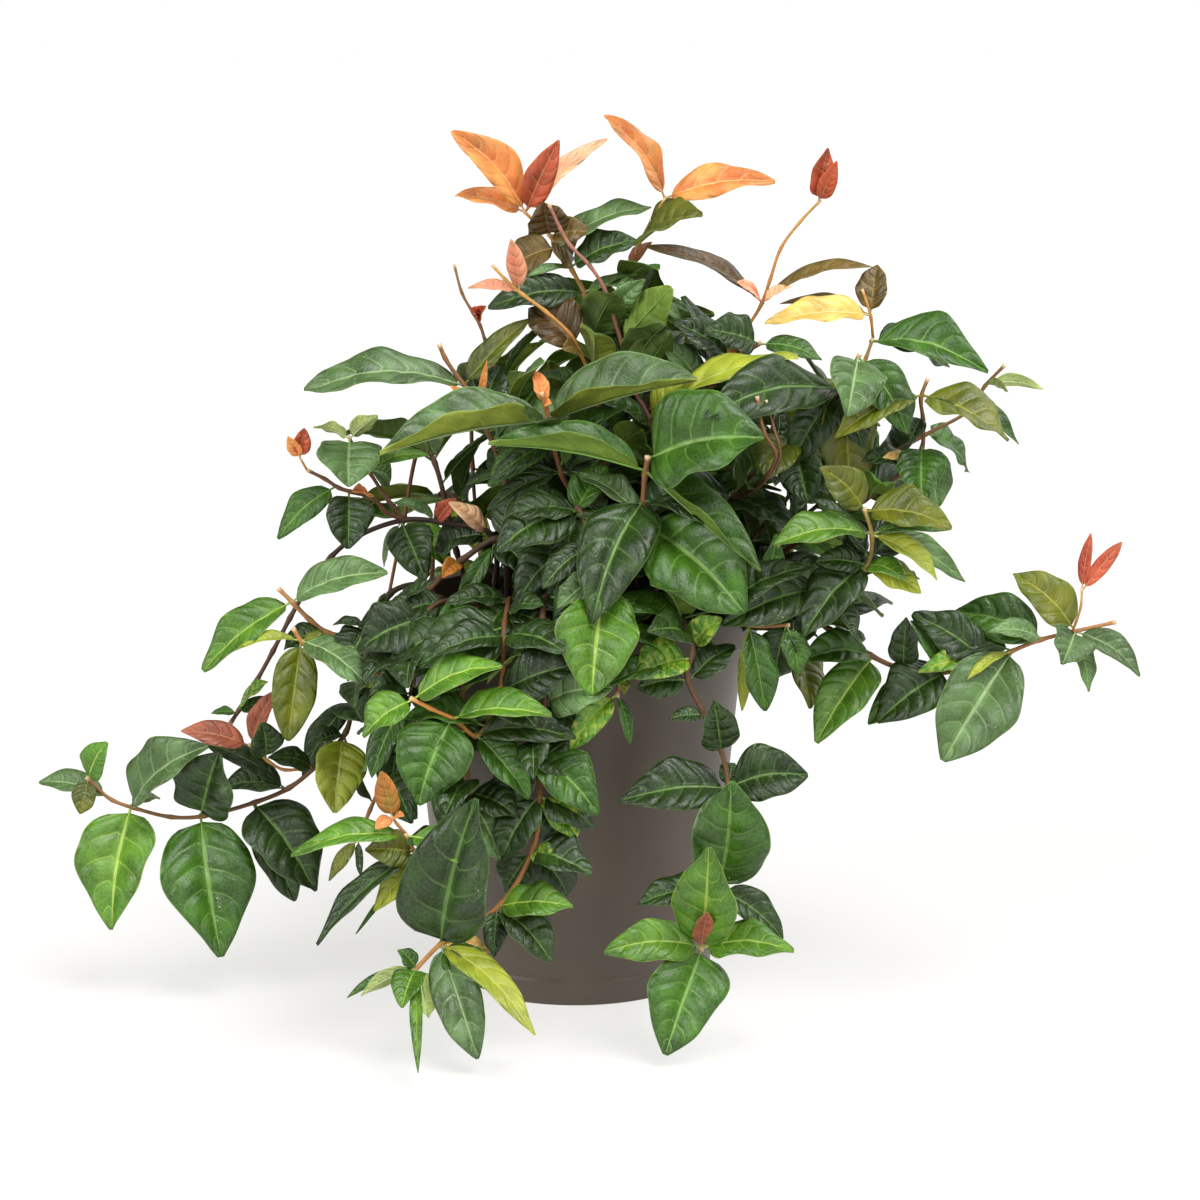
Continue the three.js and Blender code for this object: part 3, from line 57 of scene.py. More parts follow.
camera = bpy.data.objects.new("camera", bpy.data.cameras.new("camera"))
camera.data.sensor_width = sensor_width
camera.data.lens = sensor_width * plane_distance / view_width
camera.location = eye / metre
camera.rotation_euler = (math.pi / 2 - pitch, 0, 0)
bpy.context.scene.collection.objects.link(camera)
bpy.context.scene.camera = camera


def seen(across, up, near):
    """The place that the eye sees across and up in the plane of the pot's axis, and near in front of it."""
    ray = Vector((across - plane_across, 0, 0)) + sight * plane_distance + sight_up * (up - plane_up)
    return eye + ray * ((-near - eye.y) / ray.y)


# What every part of the scene is made with: colours, finishes, objects and their places in the frame.
def linear(hex_colour):
    """An sRGB hex colour as linear red, green, blue and alpha."""
    parts = [int(hex_colour[i:i + 2], 16) / 255 for i in (1, 3, 5)]
    return (*[part / 12.92 if part <= 0.04045 else ((part + 0.055) / 1.055) ** 2.4 for part in parts], 1)


def connect(node, links):
    """Gives each input its value, or the socket that it takes it from."""
    for name, value in links.items():
        if isinstance(value, bpy.types.NodeSocket):
            node.id_data.links.new(value, node.inputs[name])
        else:
            node.inputs[name].default_value = value


def add_node(material, kind, links, **settings):
    """Adds a node with its settings and links."""
    node = material.node_tree.nodes.new(kind)
    for name, value in settings.items():
        setattr(node, name, value)
    connect(node, links)
    return node


def new_material(name, values):
    """A material with these values all over, its shader and its Object coordinates."""
    material = bpy.data.materials.new(name)
    material.use_nodes = True
    shader = material.node_tree.nodes["Principled BSDF"]
    connect(shader, values)
    place = add_node(material, "ShaderNodeTexCoord", {}).outputs["Object"]
    return material, shader, place


def noise_of(material, place, scale, detail, roughness=0.5):
    """Cloudy noise. One cloud measures about a metre divided by the scale."""
    return add_node(material, "ShaderNodeTexNoise", {
        "Vector": place, "Scale": scale, "Detail": detail, "Roughness": roughness,
    }).outputs["Fac"]


def maths(material, operation, *values):
    """The result of a maths node."""
    return add_node(material, "ShaderNodeMath", dict(enumerate(values)), operation=operation).outputs[0]


def fitted(material, value, start, end, low, high, smooth=False):
    """A value between start and end, brought between low and high."""
    return add_node(material, "ShaderNodeMapRange", {
        "Value": value, "From Min": start, "From Max": end, "To Min": low, "To Max": high,
    }, interpolation_type="SMOOTHSTEP" if smooth else "LINEAR").outputs[0]


def mixed(material, share, first, second):
    """The first colour where the share is 0, and the second where it is 1."""
    links = {0: share, 6: first, 7: second}
    return add_node(material, "ShaderNodeMix", links, data_type="RGBA").outputs[2]


def brightened(material, colour, value):
    """A colour made brighter or darker."""
    return add_node(material, "ShaderNodeHueSaturation", {"Color": colour, "Value": value}).outputs[0]


def bump_of(material, height, strength, distance):
    """A surface raised by a height, which is a share of the distance in metres."""
    links = {"Height": height, "Strength": strength, "Distance": distance}
    return add_node(material, "ShaderNodeBump", links).outputs[0]


def stored(material, name, output):
    """What the mesh stores under this name."""
    return add_node(material, "ShaderNodeAttribute", {}, attribute_name=name).outputs[output]


def new_object(name, maker, materials=()):
    """Makes the object of a finished bmesh, in metres."""
    bmesh.ops.scale(maker, vec=(1 / metre,) * 3, verts=maker.verts)
    mesh = bpy.data.meshes.new(name)
    maker.to_mesh(mesh)
    maker.free()
    for material in materials:
        mesh.materials.append(material)
    mesh.shade_smooth()
    made = bpy.data.objects.new(name, mesh)
    bpy.context.scene.collection.objects.link(made)
    return made


def take_place(piece, node):
    """The piece stands for its node and moves with the plant."""
    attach(piece, "root")
    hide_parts(node)


# The nursery pot is one thin polypropylene moulding: a tapered wall, a deep plain rim that stands
# proud, a low foot band, and four drain notches cut through the foot.
pot_height = 188
pot_base = 67
pot_shoulder = 83.7
pot_rim = 90
rim_opening = 84
rim_depth = 16
rim_ledge = 4
pot_wall = 2.2
pot_floor = 3
foot_height = 13
foot_step = 0.8
drain_count = 4
drain_size = (18, 15, 14)
round_steps = 144
edge_rounding = 0.6
edge_steps = 3
sharp_edge = math.radians(35)


def wall_radius(up):
    """The pot's outer radius at a height."""
    return pot_base + (pot_shoulder - pot_base) * up / (pot_height - rim_depth)


shoulder = pot_height - rim_depth
pot_outline = [
    (0, 0), (wall_radius(0) + foot_step, 0), (wall_radius(foot_height) + foot_step, foot_height - 1),
    (wall_radius(foot_height), foot_height), (pot_shoulder, shoulder), (pot_rim, shoulder),
    (pot_rim, pot_height), (rim_opening, pot_height), (rim_opening, shoulder + rim_ledge),
    (wall_radius(shoulder) - pot_wall, shoulder), (wall_radius(pot_floor) - pot_wall, pot_floor),
    (0, pot_floor),
]
maker = bmesh.new()
corners = [maker.verts.new((radius, 0, up)) for radius, up in pot_outline]
for start, end in zip(corners, corners[1:]):
    maker.edges.new((start, end))
bmesh.ops.spin(
    maker, geom=maker.verts[:] + maker.edges[:], axis=(0, 0, 1), cent=(0, 0, 0), dvec=(0, 0, 0),
    angle=math.tau, steps=round_steps, use_merge=True,
)
bmesh.ops.remove_doubles(maker, verts=maker.verts, dist=0.001)
bmesh.ops.recalc_face_normals(maker, faces=maker.faces)
pot = new_object("nursery_pot", maker)

# Each drain notch is cut by a block set across the foot.
maker = bmesh.new()
for number in range(drain_count):
    turn = Matrix.Rotation((number + 0.5) / drain_count * math.tau, 4, "Z")
    place = turn @ Matrix.Translation((wall_radius(0) + foot_step, 0, 0))
    bmesh.ops.create_cube(maker, size=1, matrix=place @ Matrix.Diagonal((*drain_size, 1)))
notches = new_object("drain_notches", maker)
pot.modifiers.new("notches", "BOOLEAN").object = notches
cut = bpy.data.meshes.new_from_object(pot.evaluated_get(bpy.context.evaluated_depsgraph_get()))
pot.modifiers.clear()
pot.data = cut
bpy.data.objects.remove(notches)
rounding = pot.modifiers.new("rounding", "BEVEL")
rounding.width = edge_rounding / metre
rounding.segments = edge_steps
rounding.limit_method = "ANGLE"
rounding.angle_limit = sharp_edge
rounding.harden_normals = True

# Moulded polypropylene in dark taupe. The mould's fine grain spreads the light into one broad satin
# streak, and handling leaves cloudy patches that are a little paler and duller.
satin_plastic, shader, place = new_material("satin_polypropylene", {"IOR": 1.49})
clouds = noise_of(satin_plastic, place, 24, 6, 0.62)
grain = noise_of(satin_plastic, place, 1100, 2)
colour = mixed(satin_plastic, clouds, linear("#453b33"), linear("#5e5145"))
rough = fitted(satin_plastic, clouds, 0, 1, 0.36, 0.52)
bump = bump_of(satin_plastic, grain, 0.25, 0.0003)
connect(shader, {"Base Color": colour, "Roughness": rough, "Normal": bump})
pot.data.materials.append(satin_plastic)
take_place(pot, "pot")


# The potting mix is composted bark and peat, filled to a thumb's width below the rim. Its top is uneven,
# and chips of bark and broken twigs lie loose on it.
soil_level = 170
soil_gap = 0.5
soil_cells = 70
soil_swell = 3.5
soil_lump = 16
soil_roughness = (0.6, 2.1, 5)
chip_count = 420
chip_sizes = [(9, 4, 2), (6, 4, 2.5), (14, 2, 1.6), (5, 3, 2)]
chip_scales = (0.7, 1.3)
chip_margin = 7
chip_rise = 3
chip_tilt = 0.5
chip_dent = 0.6
rng = random.Random(41)

maker = bmesh.new()
bmesh.ops.create_grid(maker, x_segments=soil_cells, y_segments=soil_cells, size=1)
soil_radius = wall_radius(soil_level) - pot_wall - soil_gap
for vert in maker.verts:
    x, y, _ = vert.co
    vert.co.x = x * math.sqrt(1 - y * y / 2) * soil_radius
    vert.co.y = y * math.sqrt(1 - x * x / 2) * soil_radius
    swell = noise.fractal(vert.co / soil_lump, *soil_roughness) * soil_swell
    vert.co.z = soil_level - 1 + swell * min(1, 1.2 - vert.co.xy.length / soil_radius)
rim_edges = [edge for edge in maker.edges if edge.is_boundary]
grown = bmesh.ops.extrude_edge_only(maker, edges=rim_edges)["geom"]
foot = [item for item in grown if isinstance(item, bmesh.types.BMVert)]
foot_share = (wall_radius(pot_floor) - pot_wall - soil_gap) / soil_radius
for vert in foot:
    vert.co = Vector((vert.co.x * foot_share, vert.co.y * foot_share, pot_floor + soil_gap))
bmesh.ops.holes_fill(maker, edges=[edge for edge in maker.edges if edge.is_boundary])
bmesh.ops.recalc_face_normals(maker, faces=maker.faces)
for _ in range(chip_count):
    turn = rng.random() * math.tau
    away = math.sqrt(rng.random()) * (soil_radius - chip_margin)
    height = soil_level + rng.random() * chip_rise
    spin = Matrix.Rotation(rng.random() * math.tau, 4, "Z")
    tilt = Matrix.Rotation(rng.uniform(-chip_tilt, chip_tilt), 4, "Y")
    size = rng.choice(chip_sizes)
    scale = rng.uniform(*chip_scales)
    where = Matrix.Translation((math.cos(turn) * away, math.sin(turn) * away, height))
    shape = where @ (spin @ tilt) @ Matrix.Diagonal((*[side * scale for side in size], 1))
    chip = bmesh.ops.create_cube(maker, size=1, matrix=shape)["verts"]
    for vert in chip:
        vert.co += Vector([rng.uniform(-chip_dent, chip_dent) for _ in range(3)])
    for face in {face for vert in chip for face in vert.link_faces}:
        face.material_index = 1
soil = new_object("potting_mix", maker)
soil.data.shade_flat()

# Damp peat: black-brown, matt and crumbly.
damp_peat, shader, place = new_material("damp_peat", {"Roughness": 0.95})
crumbs = noise_of(damp_peat, place, 260, 8)
colour = mixed(damp_peat, crumbs, linear("#1d1511"), linear("#3f2f24"))
bump = bump_of(damp_peat, crumbs, 1, 0.002)
connect(shader, {"Base Color": colour, "Normal": bump})
soil.data.materials.append(damp_peat)

# Shredded pine bark: red-brown to straw, fibrous along the chip and matt.
shredded_bark, shader, place = new_material("shredded_bark", {"Roughness": 0.85})
patches = noise_of(shredded_bark, place, 90, 5)
colour = mixed(shredded_bark, patches, linear("#2c1c13"), linear("#6e5034"))
bump = bump_of(shredded_bark, patches, 0.8, 0.001)
connect(shader, {"Base Color": colour, "Normal": bump})
soil.data.materials.append(shredded_bark)
take_place(soil, "soil")


# The stems stand in front of, beside and behind each other, rooted in the mix. Each is a thin woody vine
# with opposite leaves at its joints, where it swells a little.
stem_step = 2.4
stem_sides = 8
joint_swell = 0.35
joint_reach = 2.2
root_depth = 10
bare_foot = 5
shoot_thinning = 0.8
pale_wood = linear("#d9bd92")


def tangents_of(points):
    """The direction through each point, from the points before and after it."""
    found = []
    for i, point in enumerate(points):
        before = points[max(i - 1, 0)]
        after = points[min(i + 1, len(points) - 1)]
        found.append((after - before) / ((point - before).length + (after - point).length))
    return found


def smooth_line(points, step):
    """A smooth line through the points, with a place about every step."""
    tangents = tangents_of(points)
    line = [points[0]]
    for i in range(len(points) - 1):
        start, end = points[i], points[i + 1]
        span = (end - start).length
        count = max(1, round(span / step))
        for k in range(1, count + 1):
            t = k / count
            leave = tangents[i] * span * (t ** 3 - 2 * t ** 2 + t)
            arrive = tangents[i + 1] * span * (t ** 3 - t ** 2)
            left = start * (2 * t ** 3 - 3 * t ** 2 + 1) + leave
            line.append(left + end * (3 * t ** 2 - 2 * t ** 3) + arrive)
    return line


def new_plant_maker():
    """An empty bmesh with the layers that every stem and leaf of a piece shares."""
    maker = bmesh.new()
    maker.verts.layers.float_color.new("skin_colour")
    maker.verts.layers.float_color.new("vein_colour")
    maker.verts.layers.float.new("mottle")
    maker.verts.layers.float.new("vein_cell")
    maker.loops.layers.uv.new("blade")
    return maker


def ring_places(line, radii):
    """Where each ring of a tube along a line stands, turned square to the line and as wide as the radius."""
    places = []
    side = Vector((1, 0, 0))
    for point, direction, radius in zip(line, tangents_of(line), radii):
        forward = direction.normalized()
        if abs(side.dot(forward)) > 0.95:
            side = Vector((0, 0, 1))
        side = (side - forward * side.dot(forward)).normalized()
        turn = Matrix((side, forward.cross(side), forward)).transposed().to_4x4()
        places.append(Matrix.Translation(point) @ turn @ Matrix.Scale(radius, 4))
    return places


def tube_mesh(places, sides, material, colours):
    """A closed tube through rings, with its own colour at each."""
    maker = new_plant_maker()
    colour_layer = maker.verts.layers.float_color["skin_colour"]
    ring = bmesh.ops.create_circle(maker, cap_ends=True, segments=sides, radius=1, matrix=places[0])["verts"]
    for vert in ring:
        vert[colour_layer] = colours[0]
    for i in range(1, len(places)):
        edges = {edge for vert in ring for edge in vert.link_edges if edge.other_vert(vert) in ring}
        grown = bmesh.ops.extrude_edge_only(maker, edges=list(edges))["geom"]
        ring = [item for item in grown if isinstance(item, bmesh.types.BMVert)]
        bmesh.ops.transform(maker, matrix=places[i] @ places[i - 1].inverted(), verts=ring)
        for vert in ring:
            vert[colour_layer] = colours[i]
    bmesh.ops.holes_fill(maker, edges=[edge for edge in maker.edges if edge.is_boundary])
    bmesh.ops.recalc_face_normals(maker, faces=maker.faces)
    for face in maker.faces:
        face.material_index = material
        face.smooth = True
    mesh = bpy.data.meshes.new("tube")
    maker.to_mesh(mesh)
    maker.free()
    return mesh


# A leaf's form, in shares of its blade.
# The blade arches along its midrib, sags at its tip and is puffed up between its sunken side veins.
leaf_arch = 0.035
leaf_sag = 0.06
keel_sag = 0.02
keel_width = 0.52
far_half_lean = math.radians(10)
keeled_twist = 0.3
twist_from = 0.4
sun_seeking = 0.35
blunt_base = 0.42
slim_base = 0.36
least_slimness = 0.2
outline_softness = 0.9
longest_stalk = 0.1
stalk_end_width = 0.02
tip_widening = 0.05
blade_fill = 0.94
margin_wander = 0.2
drawn_tip = 0.34
drawn_from = 0.68
vein_pairs = 5
vein_rise = 0.13
vein_hook = 0.11
vein_wander = 0.22
vein_offset = 0.25
under_vein_brightness = 1.7
edge_thinning = 0.6
old_puff = 0.052
young_puff = 0.03

# The measures that are millimetres, and how a leaf is fitted to its solid.
stalk_length = 3.2
leaf_step = 1.6
leaf_thickness = 0.34
tip_half_thickness = 0.35
lump_size = 8
lump_height = 0.9
lump_share = 0.035
flush_size = 11
rib_radius = 0.35
widest_rib_radius = 0.75
rib_depth = 0.12
rib_widening = 0.012
rib_taper = 0.75
wide_leaf = 17
small_leaf = 8
fit_distance = 0.05
stem_slimness = 0.8
least_spread = 0.6

# How far the leaves of one plant differ. Each leaf draws one value of every trait, between its two ends.
leaf_traits = {
    "roll": (-0.3, 0.3), "base_power": (-0.05, 0.05), "tip_power": (0.78, 1.08), "bend": (-0.025, 0.025),
    "arch": (0.6, 1.3), "sag": (0.85, 1.15), "fold": (0.4, 0.85), "curl": (0.3, 0.65), "twist": (-0.4, 0.4),
    "wave": (0.02, 0.06), "waves": (1.6, 2.6), "phase": (0, math.tau), "pairs": (-0.6, 0.9),
    "brightness": (0.85, 1.18),
}


def leaf_sheet(name, columns, rows):
    """A flat closed sheet to bend a leaf from: x across from -1 to 1, y from 0 to 1, z the two faces."""
    sheet = bmesh.new()
    bmesh.ops.create_grid(sheet, x_segments=columns, y_segments=rows, size=1)
    bmesh.ops.solidify(sheet, geom=sheet.faces[:], thickness=1)
    middle = sum(vert.co.z for vert in sheet.verts) / len(sheet.verts)
    for vert in sheet.verts:
        vert.co = Vector((vert.co.x, (vert.co.y + 1) / 2, 1 if vert.co.z > middle else -1))
    bmesh.ops.recalc_face_normals(sheet, faces=sheet.faces)
    blade_map = sheet.loops.layers.uv.new("blade")
    for face in sheet.faces:
        face.smooth = True
        face.material_index = 0 if min(vert.co.z for vert in face.verts) > 0 else 1
        for loop in face.loops:
            loop[blade_map].uv = ((loop.vert.co.x + 1) / 2, loop.vert.co.y)
    mesh = bpy.data.meshes.new(name)
    sheet.to_mesh(mesh)
    sheet.free()
    return mesh


wide_sheet = leaf_sheet("wide_leaf_sheet", 12, 28)
plain_sheet = leaf_sheet("plain_leaf_sheet", 8, 18)
small_sheet = leaf_sheet("small_leaf_sheet", 4, 12)
rib_steps = 8
straight_rings = [Matrix.Translation((0, 0, k)) for k in range(rib_steps)]
straight_rib = tube_mesh(straight_rings, 6, 2, [(0, 0, 0, 1)] * rib_steps)

# Each tint is the blade's upper face, its flush, its veins and its under face. Old leaves are dark and
# waxy with pale veins, and young ones open copper to pink before they green.
leaf_tints = {
    "dark": ("#152903", "#234007", "#62843c", "#52682a"),
    "mid": ("#264a04", "#3a660b", "#789e48", "#66802c"),
    "bright": ("#3a660e", "#5a861c", "#a0bc50", "#98aa38"),
    "dusty": ("#415d2a", "#5e804a", "#9cb678", "#94a23c"),
    "lime": ("#8c9a20", "#a8ac38", "#bcc65c", "#a8b438"),
    "olive": ("#4c5804", "#68680c", "#8e9434", "#76802a"),
    "bronze": ("#5a4814", "#74602a", "#9c8450", "#7a6028"),
    "brown": ("#44340c", "#583818", "#846a38", "#7c6230"),
    "orange": ("#d88c44", "#c4602c", "#e8b878", "#d89850"),
    "peach": ("#ecbc90", "#e8a070", "#f2cca0", "#e8b488"),
    "pink": ("#e8a078", "#cc6448", "#f0b890", "#e09070"),
    "red": ("#bc5030", "#9a2c1c", "#dc9c68", "#b86444"),
    "rust": ("#96523a", "#803c28", "#b87c58", "#a06448"),
    "copper": ("#a8641c", "#8a721c", "#cc9c50", "#b07830"),
    "yellow": ("#e4c464", "#d8963c", "#eedc8c", "#d8b850"),
    "mottled": ("#35680a", "#588a18", "#a0bc50", "#8a9e34"),
    "pale": ("#58803c", "#7c9c58", "#b4c48c", "#a4b46c"),
}
puffed_tints = ("dark", "mid", "mottled")


def shaded(colour, amount):
    """A colour times an amount."""
    return (colour[0] * amount, colour[1] * amount, colour[2] * amount, 1)


def add_copy(maker, mesh):
    """Adds a mesh to a bmesh and gives its new corners."""
    first = len(maker.verts)
    maker.from_mesh(mesh)
    return maker.verts[first:]


def add_leaf(maker, base, tip, normal, width, tint, rng, keel=0, shaded_place=False):
    """A stalked, veined blade from its joint on the stem to its tip, with its upper face along the normal.

    A keeled blade is folded up along its midrib, so that its near half hides this share of its far half."""
    trait = {name: rng.uniform(*ends) for name, ends in leaf_traits.items()}
    roll, twist, phase = trait["roll"], trait["twist"], trait["phase"]
    length = (tip - base).length
    along = (tip - base) / length
    against_weight = Vector((0, 0, 1)) - along * along.z
    if not keel:
        normal = (normal + against_weight * sun_seeking).normalized()
        normal = normal * math.cos(roll) + along.cross(normal) * math.sin(roll)
        width = width / math.cos(roll)
    right = along.cross(normal)
    slimness = max(least_slimness, 1 - width / length)
    base_power = blunt_base + slim_base * slimness + trait["base_power"]
    tip_power = trait["tip_power"]
    widest = base_power / (base_power + tip_power)
    bend = trait["bend"] * length
    arch = trait["arch"] * leaf_arch * length
    sag = trait["sag"] * (keel_sag if keel else leaf_sag) * length
    fold = trait["fold"]
    curl = trait["curl"] * fold
    wave = trait["wave"] * width
    stalk = min(longest_stalk, stalk_length / length)
    pairs = vein_pairs + trait["pairs"]
    upper_side = math.copysign(1, right.z)
    near_half_lean = math.acos(keel)
    blade, flush, vein, under = [shaded(linear(code), trait["brightness"]) for code in leaf_tints[tint]]
    under_vein = [min(1, part * under_vein_brightness) for part in under]
    puffing = old_puff if tint in puffed_tints else young_puff

    def spine(share):
        swing = math.sin(math.pi * share)
        lifted = against_weight * sag + normal * arch + right * bend
        return base + along * length * share + lifted * swing

    colour_layer = maker.verts.layers.float_color["skin_colour"]
    vein_layer = maker.verts.layers.float_color["vein_colour"]
    mottle_layer = maker.verts.layers.float["mottle"]
    cell_layer = maker.verts.layers.float["vein_cell"]

    # The midrib runs on from the stalk under the blade, and stands a little proud of both faces.
    last_step = rib_steps - 1
    thickest = min(widest_rib_radius, rib_radius + width * rib_widening)
    line = [spine(k / last_step - 0.02) - normal * rib_depth for k in range(rib_steps)]
    rings = ring_places(line, [thickest * (1 - rib_taper * k / last_step) for k in range(rib_steps)])
    for vert in add_copy(maker, straight_rib):
        x, y, ring = vert.co
        vert.co = rings[round(ring)] @ Vector((x, y, 0))
        vert[colour_layer] = vein

    sheet = wide_sheet
    if width < small_leaf:
        sheet = small_sheet
    elif width < wide_leaf or shaded_place:
        sheet = plain_sheet
    for vert in add_copy(maker, sheet):
        u, v, face = vert.co
        spread = abs(u)
        share = stalk + (1 - stalk) * v
        fullness = stalk_end_width + tip_widening * v
        if 0 < v < 1:
            uneven = noise.noise(Vector((v * 3.2, math.copysign(3, u), phase * 5)))
            outline = (v / widest) ** base_power * ((1 - v) / (1 - widest)) ** tip_power
            drawn = max(0, v - drawn_from) / (1 - drawn_from)
            drawn_in = 1 - drawn_tip * drawn ** 2
            fullness += (blade_fill + margin_wander * uneven) * outline ** outline_softness * drawn_in
        half = width / 2 * fullness
        on_blade = Vector((u * half, v * length, 0))

        # Side veins rise and hook towards the tip. The blade is puffed between them and waved at its edge.
        wander = noise.noise(Vector((u * 2.2, v * 4, phase * 7))) * spread * vein_wander
        cell = (v - vein_rise * spread - vein_hook * spread ** 3) * pairs + wander + vein_offset * (u > 0)
        puff = abs(math.sin(math.pi * cell)) ** 0.8 * min(1, spread * 4) * (1 - spread ** 4)
        relief = puff * width * puffing * fullness
        relief += wave * spread ** 3 * math.sin(math.tau * trait["waves"] * v + phase + (2 if u > 0 else 0))
        lump = noise.noise((on_blade + Vector((0, 0, phase * 9))) / lump_size)
        relief += lump * min(lump_height, width * lump_share)
        relief += face * leaf_thickness / 2 * (1 - edge_thinning * spread ** 4)
        if keel:
            near_half = u * upper_side < 0
            lean = near_half_lean if near_half else far_half_lean
            reach = spread * half * 2 * keel_width
            across = upper_side * (reach * math.cos(lean) + relief * math.sin(lean))
            rise = reach * math.sin(lean) - relief * math.cos(lean)
            rise = rise if near_half else -rise
        else:
            across = u * half
            rise = half * (fold * spread - curl * spread ** 2) + relief
        turn = twist * (v - twist_from) * (keeled_twist if keel else 1)
        sideways = across * math.cos(turn) - rise * math.sin(turn)
        upward = across * math.sin(turn) + rise * math.cos(turn)
        vert.co = spine(share) + right * sideways + normal * upward

        flushed = noise.noise((on_blade + Vector((0, 0, phase * 20))) / flush_size) + 0.5 - 0.5 * spread
        flushed = min(1, max(0, flushed))
        vert[colour_layer] = [a + (b - a) * flushed for a, b in zip(blade, flush)] if face > 0 else under
        vert[vein_layer] = vein if face > 0 else under_vein
        vert[mottle_layer] = 1 if tint == "mottled" else 0
        vert[cell_layer] = cell


# The shifts that a leaf may have had to clear its neighbours: nearer the viewer, and a change of roll.
leaf_shifts = [
    (0, 0), (5, 0.1), (-5, 0), (10, 0.3), (-10, 0.2), (15, 0), (-15, 0), (20, 0.5), (-20, 0.3),
    (8, 1), (-8, 0.9), (26, 0), (-26, 0), (32, 0.6), (-32, 0.4), (13, -0.6), (-13, -0.6),
]


def corner_tree(node):
    """The corners of a node's solid, to find where each of its leaves ends."""
    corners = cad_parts[node].data.vertices
    tree = KDTree(len(corners))
    for corner in corners:
        tree.insert(corner.co * metre, corner.index)
    tree.balance()
    return tree


def leaf_base(path, at):
    """A leaf grows from just past its joint, towards the next one, or at the last joint just before it."""
    other = path[at + 1] if at < len(path) - 1 else path[max(at - 1, 0)]
    step = other - path[at]
    return path[at] + (step.normalized() * leaf_step if step.length > 0 else step)


def seen_leaf(base, row, shift):
    """The tip, the upper face's direction and the true width of a leaf that is given as it is seen."""
    _, across, up, near, width, face_right, face_up, tint = row[:8]
    tip = seen(across, up, near + shift[0])
    along = (tip - base).normalized()
    facing = sight * (1 if tint == "pale" else -1) + Vector((face_right, 0, face_up + shift[1]))
    normal = (facing - along * facing.dot(along)).normalized()
    spread = abs(normal.cross(along).dot(sight.cross(along).normalized()))
    return tip, normal, width / max(spread, least_spread)


# The rough blades of all the leaves so far, which a new inner leaf has to clear.
leaf_shapes = []


def blade_shape(base, tip, normal, width):
    """A leaf's rough blade, to test what a new leaf would touch: its middle, its length and its surface."""
    along = tip - base
    side = along.normalized().cross(normal) * width / 2
    lift = (Vector((0, 0, 1)) * leaf_sag + normal * leaf_arch) * along.length
    shoulder = base + along * 0.3 + lift * 0.8
    belly = base + along * 0.65 + lift * 0.9
    corners = [base, shoulder - side, shoulder + side, belly - side * 0.8, belly + side * 0.8, tip]
    faces = [(0, 1, 2), (1, 3, 4, 2), (3, 5, 4)]
    return (base + tip) / 2, along.length, BVHTree.FromPolygons(corners, faces)


def touches_leaf(shape):
    """Whether a rough blade meets one of the leaves so far."""
    middle, length, surface = shape
    for other_middle, other_length, other_surface in leaf_shapes:
        near = (middle - other_middle).length < (length + other_length) / 2
        if near and surface.overlap(other_surface):
            return True
    return False


def in_view(place):
    """How far across and up the eye sees a place."""
    ray = place - eye
    scale = plane_distance / ray.dot(sight)
    return plane_across + ray.x * scale, plane_up + ray.dot(sight_up) * scale


def in_rounds(place, rounds):
    """Whether the eye sees a place inside a round, which is its middle across and up and its half sizes."""
    across, up = in_view(place)
    return any(
        ((across - x) / half_width) ** 2 + ((up - y) / half_height) ** 2 < 1
        for x, y, half_width, half_height in rounds
    )


# Inner leaves fill the bush between the outer ones. Their tips stay inside these rounds, as seen: the
# heart of the bush, its right and left sides, and the mass that hangs down over the pot's front.
inner_rounds = [(52, 262, 88, 86), (118, 215, 72, 60), (-66, 112, 56, 66), (22, 165, 60, 28)]
inner_spacing = 15
inner_low_share = 0.06
inner_high_share = 0.85
inner_rise = 10
inner_tries = 9
inner_turn = 0.3
inner_lengths = (34, 50)
inner_shortening = 0.04
inner_leans = (0.3, 1.5)
inner_tints = ["dark", "dark", "mid", "dark", "dark", "mid", "dusty"]
pot_clearance = 5
rim_clearance = 3
outer_forward = 0.5
outer_slimness = 0.5

# The plant is open here, so that the white surround shows between the front stems.
open_windows = [(-77, 265, 26, 42), (70, 345, 30, 16), (-98, 205, 22, 16)]


def inside_bush(place):
    """Whether a leaf's tip is clear of the pot and inside the bush."""
    beside = math.hypot(place.x, place.y) >= pot_rim + pot_clearance
    above = place.z >= pot_height + rim_clearance
    return (beside or above) and in_rounds(place, inner_rounds)


def outer_leaf(base, tangent, turn, size, lean):
    """The tip, upper face's direction and width of a leaf that stands off a stem at a turn round it."""
    level = Vector((-tangent.y, tangent.x, 0)).normalized()
    rise = tangent.cross(level)
    along = (level * math.cos(turn) + rise * math.sin(turn) + tangent * outer_forward).normalized()
    tip = base + along * size
    facing = Vector((base.x, base.y, 0)).normalized() * lean + Vector((0, 0, 1))
    normal = (facing - along * facing.dot(along)).normalized()
    return tip, normal, size * outer_slimness


